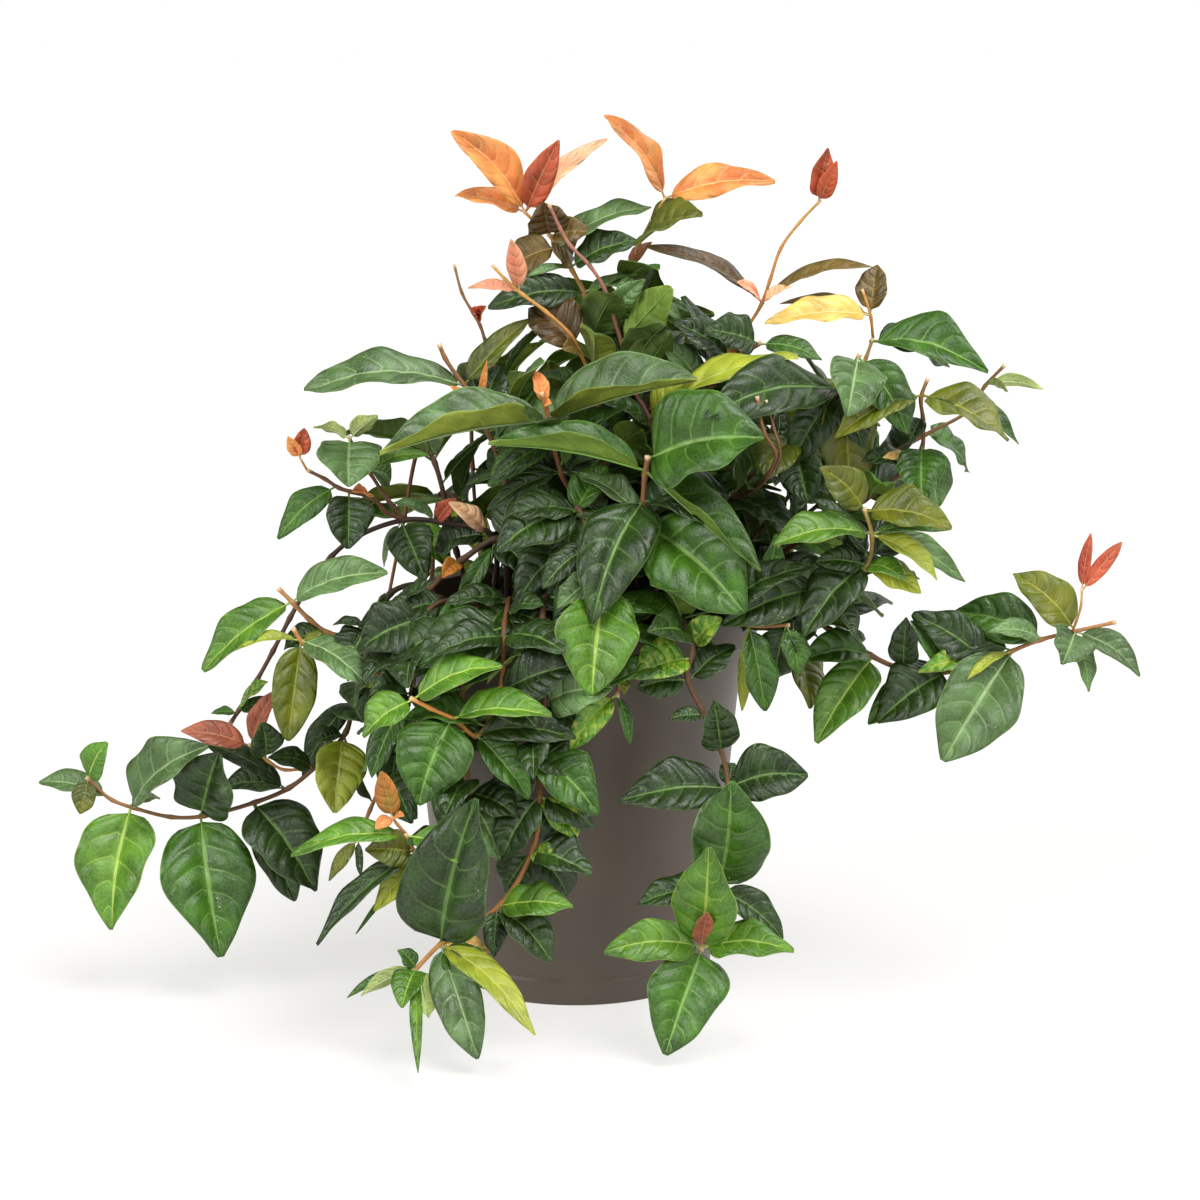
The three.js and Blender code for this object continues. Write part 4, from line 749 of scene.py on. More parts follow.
def add_inner_leaves(maker, line, rng):
    """Pairs of leaves along a stem, turned until they clear the others, where they stay inside the bush."""
    tangents = [tangent.normalized() for tangent in tangents_of(line)]
    every = max(1, round(inner_spacing / stem_step))
    first = round(len(line) * inner_low_share)
    last = round(len(line) * inner_high_share)
    for at in range(first + rng.randrange(every), last, every):
        base = line[at]
        if base.z < soil_level + inner_rise and math.hypot(base.x, base.y) < pot_rim:
            continue
        start_turn = rng.random() * math.tau
        for half in (0, math.pi):
            for attempt in range(inner_tries):
                turn = start_turn + half + rng.uniform(-inner_turn, inner_turn) * attempt
                size = rng.uniform(*inner_lengths) * (1 - inner_shortening * attempt)
                lean = rng.uniform(*inner_leans)
                tip, normal, width = outer_leaf(base, tangents[at], turn, size, lean)
                if not inside_bush(tip):
                    continue
                shape = blade_shape(base, tip, normal, width)
                if touches_leaf(shape):
                    continue
                add_leaf(maker, base, tip, normal, width, rng.choice(inner_tints), rng, 0, True)
                leaf_shapes.append(shape)
                break


def on_solid(tree, tip, normal):
    """Whether a leaf's tip lies at a corner of its node's solid."""
    return tree.find(tip + normal * tip_half_thickness)[2] < fit_distance


def add_seen_leaves(maker, tree, path, rows, rng):
    """The leaves of these rows. A leaf of the solid takes the shift at which its tip lies on the solid.

    A row with a ninth value is a leaf folded up along its midrib, which is seen edge on."""
    for row in rows:
        base = leaf_base(path, row[0])
        for shift in leaf_shifts:
            tip, normal, width = seen_leaf(base, row, shift)
            if tree is not None and not on_solid(tree, tip, normal):
                continue
            if len(row) > 8:
                toward_eye = -sight
                along = (tip - base).normalized()
                normal = (toward_eye - along * toward_eye.dot(along)).normalized()
            add_leaf(maker, base, tip, normal, width, row[7], rng, *row[8:])
            leaf_shapes.append(blade_shape(base, tip, normal, width))
            break


def grow_shoot(maker, points, joints, thick, thin, old, young):
    """A woody shoot through its points, swollen at its joints, with its bark fading from old to young."""
    line = smooth_line(points, stem_step)
    radii = []
    colours = []
    for i, point in enumerate(line):
        share = i / (len(line) - 1)
        apart = min((point - joint).length for joint in joints)
        swell = 1 + joint_swell * math.exp(-(apart / joint_reach) ** 2)
        radii.append((thick + (thin - thick) * share) * stem_slimness * swell)
        fade = share ** 2
        colours.append(tuple(a + (b - a) * fade for a, b in zip(old, young)))
    colours[-1] = pale_wood
    shoot = tube_mesh(ring_places(line, radii), stem_sides, 3, colours)
    maker.from_mesh(shoot)
    bpy.data.meshes.remove(shoot)
    return line


shoot_paths = {}
plant_materials = []
open_plants = []


def grow_stem(name, root, thick, thin, path, leaves, bark=("#46301f", "#8f6238"), branches=(), more=()):
    """One stem with its branches and its leaves, of which those in more aren't in its solid.

    It stays open until the inner leaves are added."""
    rng = random.Random(name)
    maker = new_plant_maker()
    x, y = root
    path = [seen(*place) for place in path]
    rooted = [Vector((x, y, soil_level - root_depth)), Vector((x, y, soil_level + bare_foot))]
    old, young = [linear(code) for code in bark]
    line = grow_shoot(maker, rooted + path, path, thick, thin, old, young)
    shoots = [(path, leaves)]
    for branch in branches:
        branch_path = [seen(*place) for place in branch["path"]]
        route = [path[branch["start"]]] + branch_path
        radius = branch.get("thick", thin)
        first = old if "thick" in branch else young
        grow_shoot(maker, route, branch_path, radius, radius * shoot_thinning, first, young)
        shoots.append((branch_path, branch["leaves"]))
    shoot_paths[name] = [shoot[0] for shoot in shoots]
    tree = corner_tree(name)
    for shoot_path, rows in shoots:
        add_seen_leaves(maker, tree, shoot_path, rows, rng)
    add_seen_leaves(maker, None, path, more, rng)
    open_plants.append((maker, name, line))


def finish_plant(maker, node):
    """Makes a plant's object, in its node's place."""
    piece = new_object("leafy_" + node, maker, plant_materials)
    take_place(piece, node)


# The leaf's skin is a thick waxy cuticle: it shines in broad soft patches on the cushions between the
# veins, which are sunken on top and pale. The under face is matt and its veins stand out.
vein_strength = 0.8
cuticle_relief = 0.5


def leaf_finish(name, gloss):
    """The finish of one face of the leaves."""
    material, shader, place = new_material(name, {"IOR": 1.45, "Specular IOR Level": 0.62})
    blade_map = add_node(material, "ShaderNodeUVMap", {}, uv_map="blade").outputs[0]
    split = add_node(material, "ShaderNodeSeparateXYZ", {0: blade_map}).outputs
    spread = maths(material, "ABSOLUTE", maths(material, "MULTIPLY_ADD", split[0], 2, -1))

    # The midrib and the side veins are pale, with a fine net between them and a pale margin round them.
    apart = maths(material, "PINGPONG", stored(material, "vein_cell", "Fac"), 0.5)
    lateral = fitted(material, apart, 0.008, 0.065, 1, 0, smooth=True)
    fade = fitted(material, spread, 0.1, 0.95, 0.62, 0.12)
    midrib = fitted(material, spread, 0.02, 0.08, 1, 0, smooth=True)
    veins = maths(material, "MAXIMUM", maths(material, "MULTIPLY", lateral, fade), midrib)
    cells = add_node(material, "ShaderNodeTexVoronoi", {
        "Vector": place, "Scale": 380,
    }, feature="DISTANCE_TO_EDGE").outputs["Distance"]
    net = fitted(material, cells, 0, 0.14, 0.16, 0)
    vein_share = maths(material, "MULTIPLY", maths(material, "MAXIMUM", veins, net), vein_strength)
    margin = fitted(material, spread, 0.95, 0.995, 0, 0.5)
    pale_share = maths(material, "MAXIMUM", vein_share, margin)

    # The skin is cloudy, flecked where the leaf is mottled, and sown with a few pale dots.
    clouds = noise_of(material, place, 70, 4)
    tone = fitted(material, clouds, 0.3, 0.7, 0.66, 1.38)
    toned = brightened(material, stored(material, "skin_colour", "Color"), tone)
    flecks = fitted(material, noise_of(material, place, 340, 6), 0.46, 0.62, 0, 0.7)
    mottled = maths(material, "MULTIPLY", flecks, stored(material, "mottle", "Fac"))
    flecked = mixed(material, mottled, toned, linear("#a9b23a"))
    veined = mixed(material, pale_share, flecked, stored(material, "vein_colour", "Color"))
    dots = add_node(material, "ShaderNodeTexVoronoi", {"Vector": place, "Scale": 320}).outputs["Distance"]
    dot_size = fitted(material, noise_of(material, place, 45, 2), 0.5, 0.75, 0, 0.2)
    dot_share = maths(material, "MULTIPLY", maths(material, "LESS_THAN", dots, dot_size), 0.45)
    colour = mixed(material, dot_share, veined, linear("#b4bf9a"))

    # The cushions stand up between the veins, with the net cut into them and pores as the finest relief.
    rough = fitted(material, clouds, 0, 1, gloss - 0.08, gloss + 0.1)
    cushion = fitted(material, apart, 0, 0.3, 0, 1, smooth=True)
    netted = maths(material, "MULTIPLY_ADD", net, -0.9, cushion)
    pored = maths(material, "MULTIPLY_ADD", noise_of(material, place, 900, 3), 0.3, netted)
    grooved = maths(material, "SUBTRACT", pored, midrib)
    bump = bump_of(material, grooved, cuticle_relief, 0.0008)
    connect(shader, {"Base Color": colour, "Roughness": rough, "Normal": bump})
    return material


plant_materials.append(leaf_finish("waxy_leaf_face", 0.4))
plant_materials.append(leaf_finish("matt_leaf_back", 0.6))

# Leaf stalks and midribs are smooth and fleshy, in the pale tint of the leaf's veins.
fleshy_rib, shader, place = new_material("fleshy_rib", {"Roughness": 0.45})
connect(shader, {"Base Color": stored(fleshy_rib, "skin_colour", "Color")})
plant_materials.append(fleshy_rib)

# Vine bark is thin, brown and slightly ribbed, and green-gold where the wood is still young.
vine_bark, shader, place = new_material("vine_bark", {"Roughness": 0.62})
bark = stored(vine_bark, "skin_colour", "Color")
rubbed = noise_of(vine_bark, place, 300, 5)
toned = brightened(vine_bark, bark, fitted(vine_bark, rubbed, 0, 1, 0.6, 1.4))
bump = bump_of(vine_bark, rubbed, 0.6, 0.0006)
connect(shader, {"Base Color": toned, "Normal": bump})
plant_materials.append(vine_bark)


# The stems of the front trail down over the pot's face. A leaf row is its joint, its tip as seen, its
# width, how far it faces right and up, and its tint.
grow_stem(
    "stem_centre", root=(26, -34), thick=2.1, thin=1.5,
    path=[(31, 196, 60), (33, 216, 66), (33.5, 228, 67), (34.5, 243, 68), (36, 252, 70)],
    leaves=[
        (3, -44, 257.5, 78, 24, 0, 0.8, "mid", 0.5), (3, 92, 194, 104, 28, 0.2, 0.8, "mid", 0.2),
        (2, 8, 168.5, 106, 33, -0.2, 0.2, "dark"), (1, 84.5, 173.5, 104, 41, 0.1, 0.3, "mid"),
        (2, 73, 213.5, 84, 14, 0, 0.5, "dark"),
    ],
    more=[(4, 94, 261, 92, 42, 0, 0.4, "mid")],
)
grow_stem(
    "stem_front", root=(2, -44), thick=1.9, thin=1.1,
    path=[
        (-4, 205, 60), (0.5, 226, 66), (8, 207.5, 78), (14, 188.5, 88), (19, 167.5, 95), (22, 147.5, 99),
        (20.5, 131.5, 101),
    ],
    leaves=[
        (3, 8, 132, 112, 36, 0, 0.2, "bright"), (1, -39.5, 204.5, 86, 28, 0, 0.3, "dark"),
        (2, -6, 156, 98, 19, -0.2, 0.1, "mid"), (1, -34, 222.5, 78, 15, 0, 1.2, "dark"),
        (6, -3, 104.5, 106, 14, 0.2, 0.3, "mottled"), (6, 27, 108, 104, 6, 0.8, 0.2, "mid"),
        (5, 24, 132.5, 108, 8, 0.3, 0.2, "olive"), (1, -9.5, 186, 80, 16, 0, 0.3, "dark"),
        (0, -30, 178, 72, 20, 0, 0.3, "dark"),
    ],
)
grow_stem(
    "stem_right_drop", root=(42, -40), thick=1.9, thin=1.2,
    path=[
        (45, 180, 58), (52, 172, 76), (58, 160, 93), (58, 152.5, 97), (55.5, 141.5, 98), (63.5, 124, 100),
        (72.5, 105, 103), (76, 87.5, 106), (74, 60, 112), (71.5, 37.5, 118), (62.5, 4.5, 126),
    ],
    leaves=[
        (9, 77.5, 89.5, 130, 37, 0, 0.2, "mid"), (10, 66.5, 56.5, 146, 31, -0.1, 0.4, "bright"),
        (10, 14, 4, 140, 18, 0, 0.6, "bright"), (10, 109, 4.5, 140, 18, 0, 0.6, "bright"),
        (10, 44.5, -47.5, 150, 35, 0, 0.6, "mid"), (10, 65.5, 24, 142, 10, 0, 0.1, "rust"),
        (3, 30, 140.5, 108, 24, -0.2, 0.3, "mottled"), (2, 73, 171, 100, 13, 0.2, 0.5, "mottled"),
        (4, 79.5, 157, 106, 19, 0.2, 0.1, "dark"), (4, 31, 136, 100, 18, 0, 0.1, "dark"),
        (5, 46.5, 120, 104, 9, 0, 0.2, "dark"), (6, 68.5, 130, 112, 19, 0, 0.1, "dark"),
        (7, 22, 79.5, 116, 28, 0, 0.2, "dark"), (7, 116, 92.5, 112, 25, 0.2, 0.4, "dark"),
        (7, 78.5, 98.5, 96, 14, 0.2, 0.1, "dark"), (9, 103.5, 10.5, 122, 14, 0.2, 0.6, "dark"),
        (9, 30.5, 27.5, 118, 17, 0, 0.4, "dark"),
    ],
)
grow_stem(
    "stem_front_left", root=(-30, -45), thick=1.9, thin=1.2, bark=("#5a3a22", "#c8883c"),
    path=[
        (-33, 180, 60), (-35.5, 168, 82), (-38, 135, 99), (-49, 112, 104), (-60.5, 120, 107),
        (-73, 126, 106), (-83, 131, 104),
    ],
    leaves=[
        (4, -79, 77.5, 120, 34, 0, 0.2, "mid"), (6, -37, 147, 114, 17, 0, 0.9, "bright"),
        (4, -12, 122, 120, 17, 0, 0.9, "bright"), (6, -106.5, 111.5, 112, 18, 0, 0.6, "bright"),
        (3, -23.5, 80.5, 118, 19, 0.2, 0.3, "mid"), (3, 0, 111, 112, 17, 0, 0.6, "dark"),
        (1, -80.5, 146, 96, 30, 0, 0.6, "dark"), (2, -0.5, 147.5, 92, 26, 0, 0.5, "dark"),
        (2, -20, 116, 102, 22, 0, 0.2, "dark"),
    ],
    more=[(0, -50, 148, 88, 24, 0, 0.5, "dark")],
)
grow_stem(
    "stem_front_low", root=(-12, -54), thick=2, thin=1.3, bark=("#4a2e20", "#b8803c"),
    path=[
        (-14, 182, 68), (-17, 170, 90), (-15.5, 130, 99), (-23, 106, 102), (-18, 84, 106), (-21.5, 56, 113),
        (-38, 27.5, 121), (-66.5, 9, 129), (-81, -5.5, 133),
    ],
    leaves=[
        (3, 11, 73, 118, 23, 0.1, 0.4, "mid"), (6, -1.5, 26.5, 130, 20, 0, 0.4, "bright"),
        (6, -12, -1, 132, 21, 0.2, 0.2, "dark"), (7, -49, -49.5, 160, 22, 0, 0.2, "dusty"),
        (7, -20.5, -37.5, 172, 12, 0.3, 1, "lime"), (8, -87, -24, 156, 16, 0, 0.2, "bright"),
        (8, -74, -29, 140, 18, 0.1, 0.2, "pale"), (8, -107.5, -18, 142, 9, 0, 0.2, "pale"),
        (8, -114.5, -19, 136, 5, 0, 0.5, "mid"), (8, -79, -56.5, 182, 6, 0, 0.3, "bright"),
        (8, -89, 5, 134, 8, 0, 1, "mid"), (4, -36.5, 52, 116, 24, -0.2, 0.4, "dark"),
        (4, 0.5, 61, 114, 16, 0.3, 0.2, "mottled"), (5, -9, 47, 120, 11, 0, 0.2, "mottled"),
        (6, -41, 1.5, 130, 12, 0, 0.1, "dark"), (7, -43, 4, 124, 10, 0, 0.2, "yellow"),
        (2, 18.5, 136, 110, 22, 0, 0.3, "dusty"), (2, 5, 112, 106, 20, 0, 0.2, "dark"),
        (3, -4, 92, 110, 20, 0, 0.2, "dark"),
    ],
    more=[
        (7, -50, 81, 142, 43, -0.1, 0.3, "dark"), (4, 9, 66, 108, 24, 0, 0.3, "dark"),
        (7, -43, -15, 138, 17, 0, 0.3, "mid"), (4, -8, 57, 103, 22, 0, 0.2, "dark"),
        (5, -4, 32, 106, 22, 0, 0.3, "dark"), (5, -36, 34, 108, 20, 0, 0.3, "dark"),
        (3, -34, 78, 104, 22, 0, 0.3, "dark"), (5, 8, 42, 126, 22, 0, 0.3, "dark"),
    ],
)
grow_stem(
    "stem_low_left", root=(-42, -45), thick=1.9, thin=1.1, bark=("#4a2e20", "#b8803c"),
    path=[
        (-46, 179, 62), (-53, 168, 81), (-57, 120, 91), (-54, 85, 99), (-60.5, 56, 110), (-73, 49, 117),
        (-79.5, 52.5, 120), (-85.5, 63.5, 122),
    ],
    leaves=[
        (7, -43.5, 43.5, 156, 13, 0, 0.6, "bright"), (7, -142.5, 51.5, 130, 15, 0, 0.6, "bright"),
        (6, -105.5, 55, 126, 17, 0, 0.2, "olive"), (6, -129.5, 7.5, 136, 12, 0, 0.7, "dark"),
        (5, -101, 24.5, 128, 13, 0, 0.3, "lime"), (5, -110, 13, 124, 4, 0, 0.5, "mid"),
        (3, -68, 67, 108, 24, -0.2, 0.2, "dusty"), (3, -38, 50, 112, 26, 0.2, 0.2, "dusty"),
        (2, -38, 104, 98, 22, 0, 0.2, "dark"), (3, -30, 72, 108, 22, 0, 0.2, "dark"),
    ],
)
grow_stem(
    "stem_right_short", root=(24, -55), thick=1.7, thin=1.1,
    path=[(48, 190, 84), (84.5, 168, 91), (107, 167.5, 91)],
    leaves=[
        (1, 94.5, 124.5, 94, 16, 0.2, 0.1, "mid"), (1, 83, 124.5, 82, 7, 0, 0.2, "lime"),
        (2, 99.5, 141, 88, 20, 0, 0.2, "dark"), (2, 111, 142, 94, 13, 0, 0.2, "mid"),
    ],
)


# The stems of the left side arch out over the rim, and the longest runs far out with leaves hanging under
# it.
grow_stem(
    "stem_left_hang", root=(-51, -33), thick=1.8, thin=1.1,
    path=[
        (-62, 179, 50), (-75, 173, 64), (-82, 135, 74), (-88, 112.5, 80), (-94, 96, 85), (-103, 75, 89),
        (-109.5, 59, 91),
    ],
    leaves=[
        (2, -102, 91, 90, 15, -0.2, 0.2, "mid"), (3, -94, 82, 96, 18, 0.2, 0.2, "dark"),
        (6, -123.5, 39.5, 96, 7, 0, 0.2, "olive"), (6, -107.5, 41.5, 94, 4, 0, 0.1, "dark"),
    ],
    more=[
        (1, -107, 157, 70, 24, 0, 0.5, "dark"), (2, -105, 128, 84, 22, 0, 0.3, "dark"),
        (2, -66, 126, 88, 20, 0, 0.3, "dark"), (0, -96, 170, 62, 20, 0, 0.6, "dark"),
    ],
)
grow_stem(
    "stem_left_runner", root=(-60, -4), thick=2, thin=1.1,
    path=[
        (-76, 187, 6), (-93, 183, 8), (-101, 160, 8), (-111, 132.5, 16), (-115, 114, 26), (-130, 97, 30),
        (-143.5, 86, 31), (-160, 79, 32), (-186, 72, 34), (-202.5, 71.5, 34), (-221, 76, 34),
        (-232, 80, 33), (-239.5, 86, 32), (-245, 91.5, 32),
    ],
    leaves=[
        (8, -177.5, 1.5, 62, 45, 0, 0.1, "mid"), (10, -232, 15, 60, 38, 0, 0.1, "bright"),
        (7, -130.5, 34, 52, 37, 0.2, 0.1, "dark"), (10, -184, 107, 50, 28, -0.1, 0.1, "dusty"),
        (8, -178.5, 104, 46, 34, 0, 0.2, "dark"), (4, -120.5, 73.5, 42, 24, 0, 0.1, "lime"),
        (11, -268.5, 89, 22, 14, 0, 0.3, "dusty"), (13, -234.5, 109, 40, 17, 0, 0.1, "bright"),
        (13, -248, 73, 40, 13, 0, 0.1, "olive"), (7, -140.5, 29.5, 38, 20, 0, 0.1, "dark"),
        (3, -136.5, 91, 28, 14, 0.3, 0.4, "dark"), (4, -129, 109, 36, 9, 0, 0.2, "dark"),
        (5, -154, 101, 40, 12, 0, 0.8, "dark"), (6, -177, 86.5, 44, 15, 0, 0.6, "dark"),
        (6, -186, 108.5, 30, 12, 0, 0.8, "dark"), (10, -208, 81, 20, 9, 0, 0.5, "dusty"),
    ],
)
grow_stem(
    "stem_left_node", root=(-42, 8), thick=1.9, thin=1.3, bark=("#2c1d18", "#6a4430"),
    path=[
        (-42, 212, 8), (-68, 219, 6), (-86, 220, 5), (-109, 212, 5), (-122.5, 201.5, 8), (-135.5, 184, 12),
        (-143, 171, 14), (-151.5, 154.5, 16), (-159.5, 140, 18), (-168.5, 125, 20), (-173, 118, 20),
    ],
    leaves=[
        (2, -75, 189.5, 22, 21, 0.1, 0.2, "dark"), (2, -96, 196.5, -6, 6, -0.3, 0.2, "dusty"),
        (9, -154, 139, 30, 9, 0, 0.9, "mottled"), (9, -182.5, 123, 24, 6, 0, 0.5, "mid"),
        (9, -149.5, 130, 24, 7, 0.2, 0.2, "mid"), (1, -92, 228.5, -8, 8, 0, 1, "dusty"),
        (0, -71, 203.5, 2, 22, 0, 0.4, "dark"),
    ],
    branches=[
        dict(
            start=2,
            path=[(-94, 230, 8), (-103, 243.5, 10), (-110, 255, 12), (-114, 262, 12)],
            leaves=[
                (3, -113.5, 236.5, 30, 31, 0, 0.1, "dusty"), (3, -99, 272, 14, 11, 0.4, 0.6, "pale"),
                (3, -131.5, 266, 12, 8, 0, 0.8, "pale"), (1, -73.5, 252.5, 18, 9, 0, 0.6, "bright"),
                (1, -92.5, 240, 0, 16, 0.3, 0.2, "dusty"),
            ],
        ),
        dict(
            start=2,
            path=[
                (-95, 224, 10), (-101, 230.5, 14), (-112, 234, 17), (-118.5, 236, 18), (-125.5, 240.5, 18),
                (-134.5, 245, 18),
            ],
            leaves=[
                (3, -149, 210.5, 30, 15, 0, 0.3, "mid"), (2, -114, 205.5, 36, 23, 0, 0.1, "dark"),
                (1, -112, 234.5, 26, 6, 0, 0.6, "orange"),
            ],
        ),
    ],
    more=[(0, -63.5, 229, 14, 9, 0, 0.4, "peach"), (1, -60, 231, 12, 9, 0.2, 0.2, "red")],
)
grow_stem(
    "stem_over_rim", root=(-33, -16), thick=2.3, thin=1.3, bark=("#2c1d18", "#b07c48"),
    path=[
        (-38, 210, 26), (-57, 200, 27), (-73, 186, 35), (-88, 175, 48), (-103, 166, 46),
        (-114.5, 162.5, 41), (-124, 163.5, 38), (-133, 170, 37), (-141, 178, 36), (-149, 186, 35),
    ],
    leaves=[
        (8, -186.5, 144.5, 50, 21, 0, 0.4, "bright"), (8, -94, 193.5, 48, 20, 0, 0.4, "dusty"),
        (3, -71, 189, 50, 10, 0, 0.6, "dark"), (4, -121.5, 167.5, 52, 7, 0, 0.8, "dark"),
        (4, -113, 150, 58, 22, 0, 0.5, "dark"), (4, -82, 157.5, 64, 14, 0, 0.4, "dark"),
        (0, -20, 188, 44, 20, 0, 0.3, "dark"), (0, -59, 169, 42, 10, 0, 0.4, "mid"),
        (6, -146, 155, 46, 15, 0, 0.4, "dark"),
    ],
    more=[(1, -67, 191, 40, 9, 0.2, 0.4, "copper")],
)
grow_stem(
    "stem_left_tip", root=(-57, -19), thick=1.8, thin=1.2, bark=("#4a2e20", "#b87c40"),
    path=[
        (-68, 181, 34), (-81, 175, 54), (-85, 146, 61), (-89, 141.5, 61), (-95.5, 141, 59),
        (-103, 144.5, 57), (-118, 152, 52), (-129, 156.5, 50), (-136.5, 158.5, 48), (-141.5, 166, 48),
    ],
    leaves=[
        (8, -144, 109.5, 62, 23, 0, 0.1, "olive"), (8, -104, 137, 70, 19, 0, 0.5, "dusty"),
        (8, -169, 155.5, 52, 6, 0, 1.2, "lime"), (8, -122, 160, 44, 7, 0, 0.5, "olive"),
    ],
)


# The crown stems stand up in the middle. The oldest is bare below, and their last joints carry the young
# tips.
grow_stem(
    "stem_upper_left", root=(-8, -20), thick=2, thin=1.3, bark=("#4a3226", "#a86c34"),
    path=[
        (0.5, 225, 30), (-7, 242.5, 33), (-11.5, 257.5, 35), (-13.5, 268, 36), (-15, 276, 36),
        (-17.5, 284, 36),
    ],
    leaves=[
        (3, -98, 252.5, 62, 30, 0, 1, "dusty", 0.42), (3, 60.5, 289.5, 66, 30, 0, 1, "dusty", 0.25),
        (2, -42.5, 239, 54, 10, 0, 0.5, "dark"), (1, -55, 237.5, 46, 9, 0, 0.3, "dark"),
        (2, -44, 237, 38, 15, 0, 0.2, "mid"), (1, -44.5, 225, 42, 11, 0, 0.2, "dark"),
        (1, 22, 233.5, 48, 14, 0, 0.5, "dark"), (4, -20.5, 294.5, 28, 8, 0, 0.2, "orange"),
        (4, -12, 278.5, 40, 4, 0, 0.2, "orange"),
    ],
)
grow_stem(
    "stem_crown_left", root=(-3, 5), thick=2, thin=1.2, bark=("#4a3c20", "#b8863c"),
    path=[
        (14, 240, 6), (11, 275, 4), (8, 305, 2), (7, 320, 0), (4.5, 332.5, -2), (-2, 345, -4),
        (-8, 355, -4), (-14, 363.5, -4),
    ],
    leaves=[
        (4, -44, 325.5, 14, 17, 0, 0.6, "dark"), (5, 30.5, 360, 4, 20, 0, 0.4, "dark"),
        (5, -24, 342, 6, 5, 0, 0.6, "dusty"), (6, -33.5, 343, -18, 21, 0.2, 0.3, "bronze"),
        (6, 37.5, 376.5, -20, 18, 0, 0.5, "dusty"), (7, -16.5, 379, 6, 20, 0.1, 0.1, "brown"),
        (7, 8, 364, -12, 14, 0, 0.3, "bronze"), (4, 32, 337, 6, 10, 0, 0.8, "dusty"),
    ],
    more=[(7, -2, 352, -16, 26, 0.2, 0.2, "bronze")],
)
grow_stem(
    "stem_bare", root=(15, -9), thick=2, thin=0.9, bark=("#5a3a2c", "#a8705c"),
    path=[
        (41, 232, 30), (37, 269, 22), (30, 284, 18), (24, 303.5, 16), (19, 321.5, 14), (14, 336, 12),
        (7, 347, 10), (-3, 357.5, 8), (-8, 366, 8), (-13.5, 378, 10),
    ],
    leaves=[(1, 111, 301.5, 52, 17, 0, 0.9, "lime"), (1, 59, 292, 34, 10, 0, 0.6, "lime")],
)
grow_stem(
    "stem_thin_left", root=(-26, 8), thick=1.5, thin=0.8,
    path=[
        (-23, 250, 2), (-34, 282.5, 4), (-40.5, 297.5, 4), (-45.5, 310, 4), (-48, 317.5, 4),
        (-51.5, 323.5, 4), (-57, 333.5, 4), (-61, 348, 4),
    ],
    leaves=[(4, -45, 327, 12, 7, -0.3, 0.2, "red"), (4, -53, 326, 14, 6, 0.3, 0.2, "red")],
)
grow_stem(
    "stem_left_high", root=(-23, -30), thick=1.9, thin=1.2,
    path=[
        (-35.5, 240, 18), (-47, 270, 22), (-55, 286, 24), (-59.5, 292, 24), (-65.5, 301, 24),
        (-68.5, 308, 24),
    ],
    leaves=[
        (2, -136, 284, 46, 24, 0, 0.7, "dusty"), (2, -21.5, 321.5, 10, 14, 0, 0.6, "olive"),
        (1, -38, 297, 12, 22, 0.1, 0.2, "dark"), (1, -63, 287, 36, 6, 0, 0.6, "orange"),
        (1, -44.5, 300, 30, 4, 0, 0.2, "orange"),
    ],
)
grow_stem(
    "stem_orange_pair", root=(8, 20), thick=1.8, thin=1, bark=("#4a4420", "#a89440"),
    path=[
        (23, 245, -10), (16, 280, -12), (13, 310, -14), (18.5, 329, -14), (25.5, 345, -14),
        (31.5, 358, -14), (38, 370, -14),
    ],
    leaves=[(5, 63.5, 372, 2, 26, 0, 0.3, "olive"), (4, 38, 359, -6, 7, 0.2, 0.1, "pink")],
)
grow_stem(
    "stem_crown_right", root=(28, 8), thick=1.8, thin=1.2,
    path=[(68, 260, 0), (79.5, 295, -4), (85.5, 316, -5)],
    leaves=[(1, 131, 262, -28, 22, 0.3, 0.6, "dark"), (1, 74, 322, -26, 16, 0, 0.6, "mid")],
)
grow_stem(
    "stem_yellow", root=(46, 12), thick=1.9, thin=1, bark=("#4a3824", "#b08a4a"),
    path=[(97, 220, 0), (124.5, 260, 2), (139.5, 287.5, 4), (145, 301, 5), (148.5, 311, 5)],
    leaves=[
        (4, 206, 293.5, 30, 24, 0, 0.8, "mid"), (4, 186, 296, -8, 22, 0, 0.6, "dark"),
        (2, 96, 250, 20, 22, 0, 0.3, "olive"), (1, 116, 232, 20, 22, 0, 0.3, "dark"),
    ],
)
grow_stem(
    "stem_top_middle", root=(24, -21), thick=1.8, thin=1.2,
    path=[(57, 250, 14), (64.5, 280, 16), (77, 297.5, 18), (93, 309, 18)],
    leaves=[
        (3, 64, 315, 28, 20, 0, 0.4, "dark"), (3, 123, 300, 28, 12, 0, 0.8, "mid"),
        (2, 48.5, 318.5, 24, 18, 0, 0.3, "dark"), (2, 76, 315, 28, 5, 0, 0.2, "orange"),
        (1, 42, 310, 22, 15, 0, 0.4, "dusty"), (1, 102, 268, 18, 22, 0, 0.4, "dark"),
    ],
)
grow_stem(
    "stem_top_inner", root=(7, -8), thick=1.8, thin=1.1,
    path=[(39.5, 255, -2), (34.5, 280, -3), (32, 297, -3), (29, 315, -5), (27.5, 333, -7)],
    leaves=[
        (2, 27, 331, 8, 21, 0, 0.1, "mid"), (4, 54, 319, 6, 8, 0, 0.8, "dusty"),
        (4, 58, 323, -12, 9, 0, 0.8, "mid"), (2, 25, 310, 12, 7, -0.2, 0.1, "pink"),
        (2, 35.5, 309, 12, 8, 0.2, 0.1, "pink"),
    ],
)


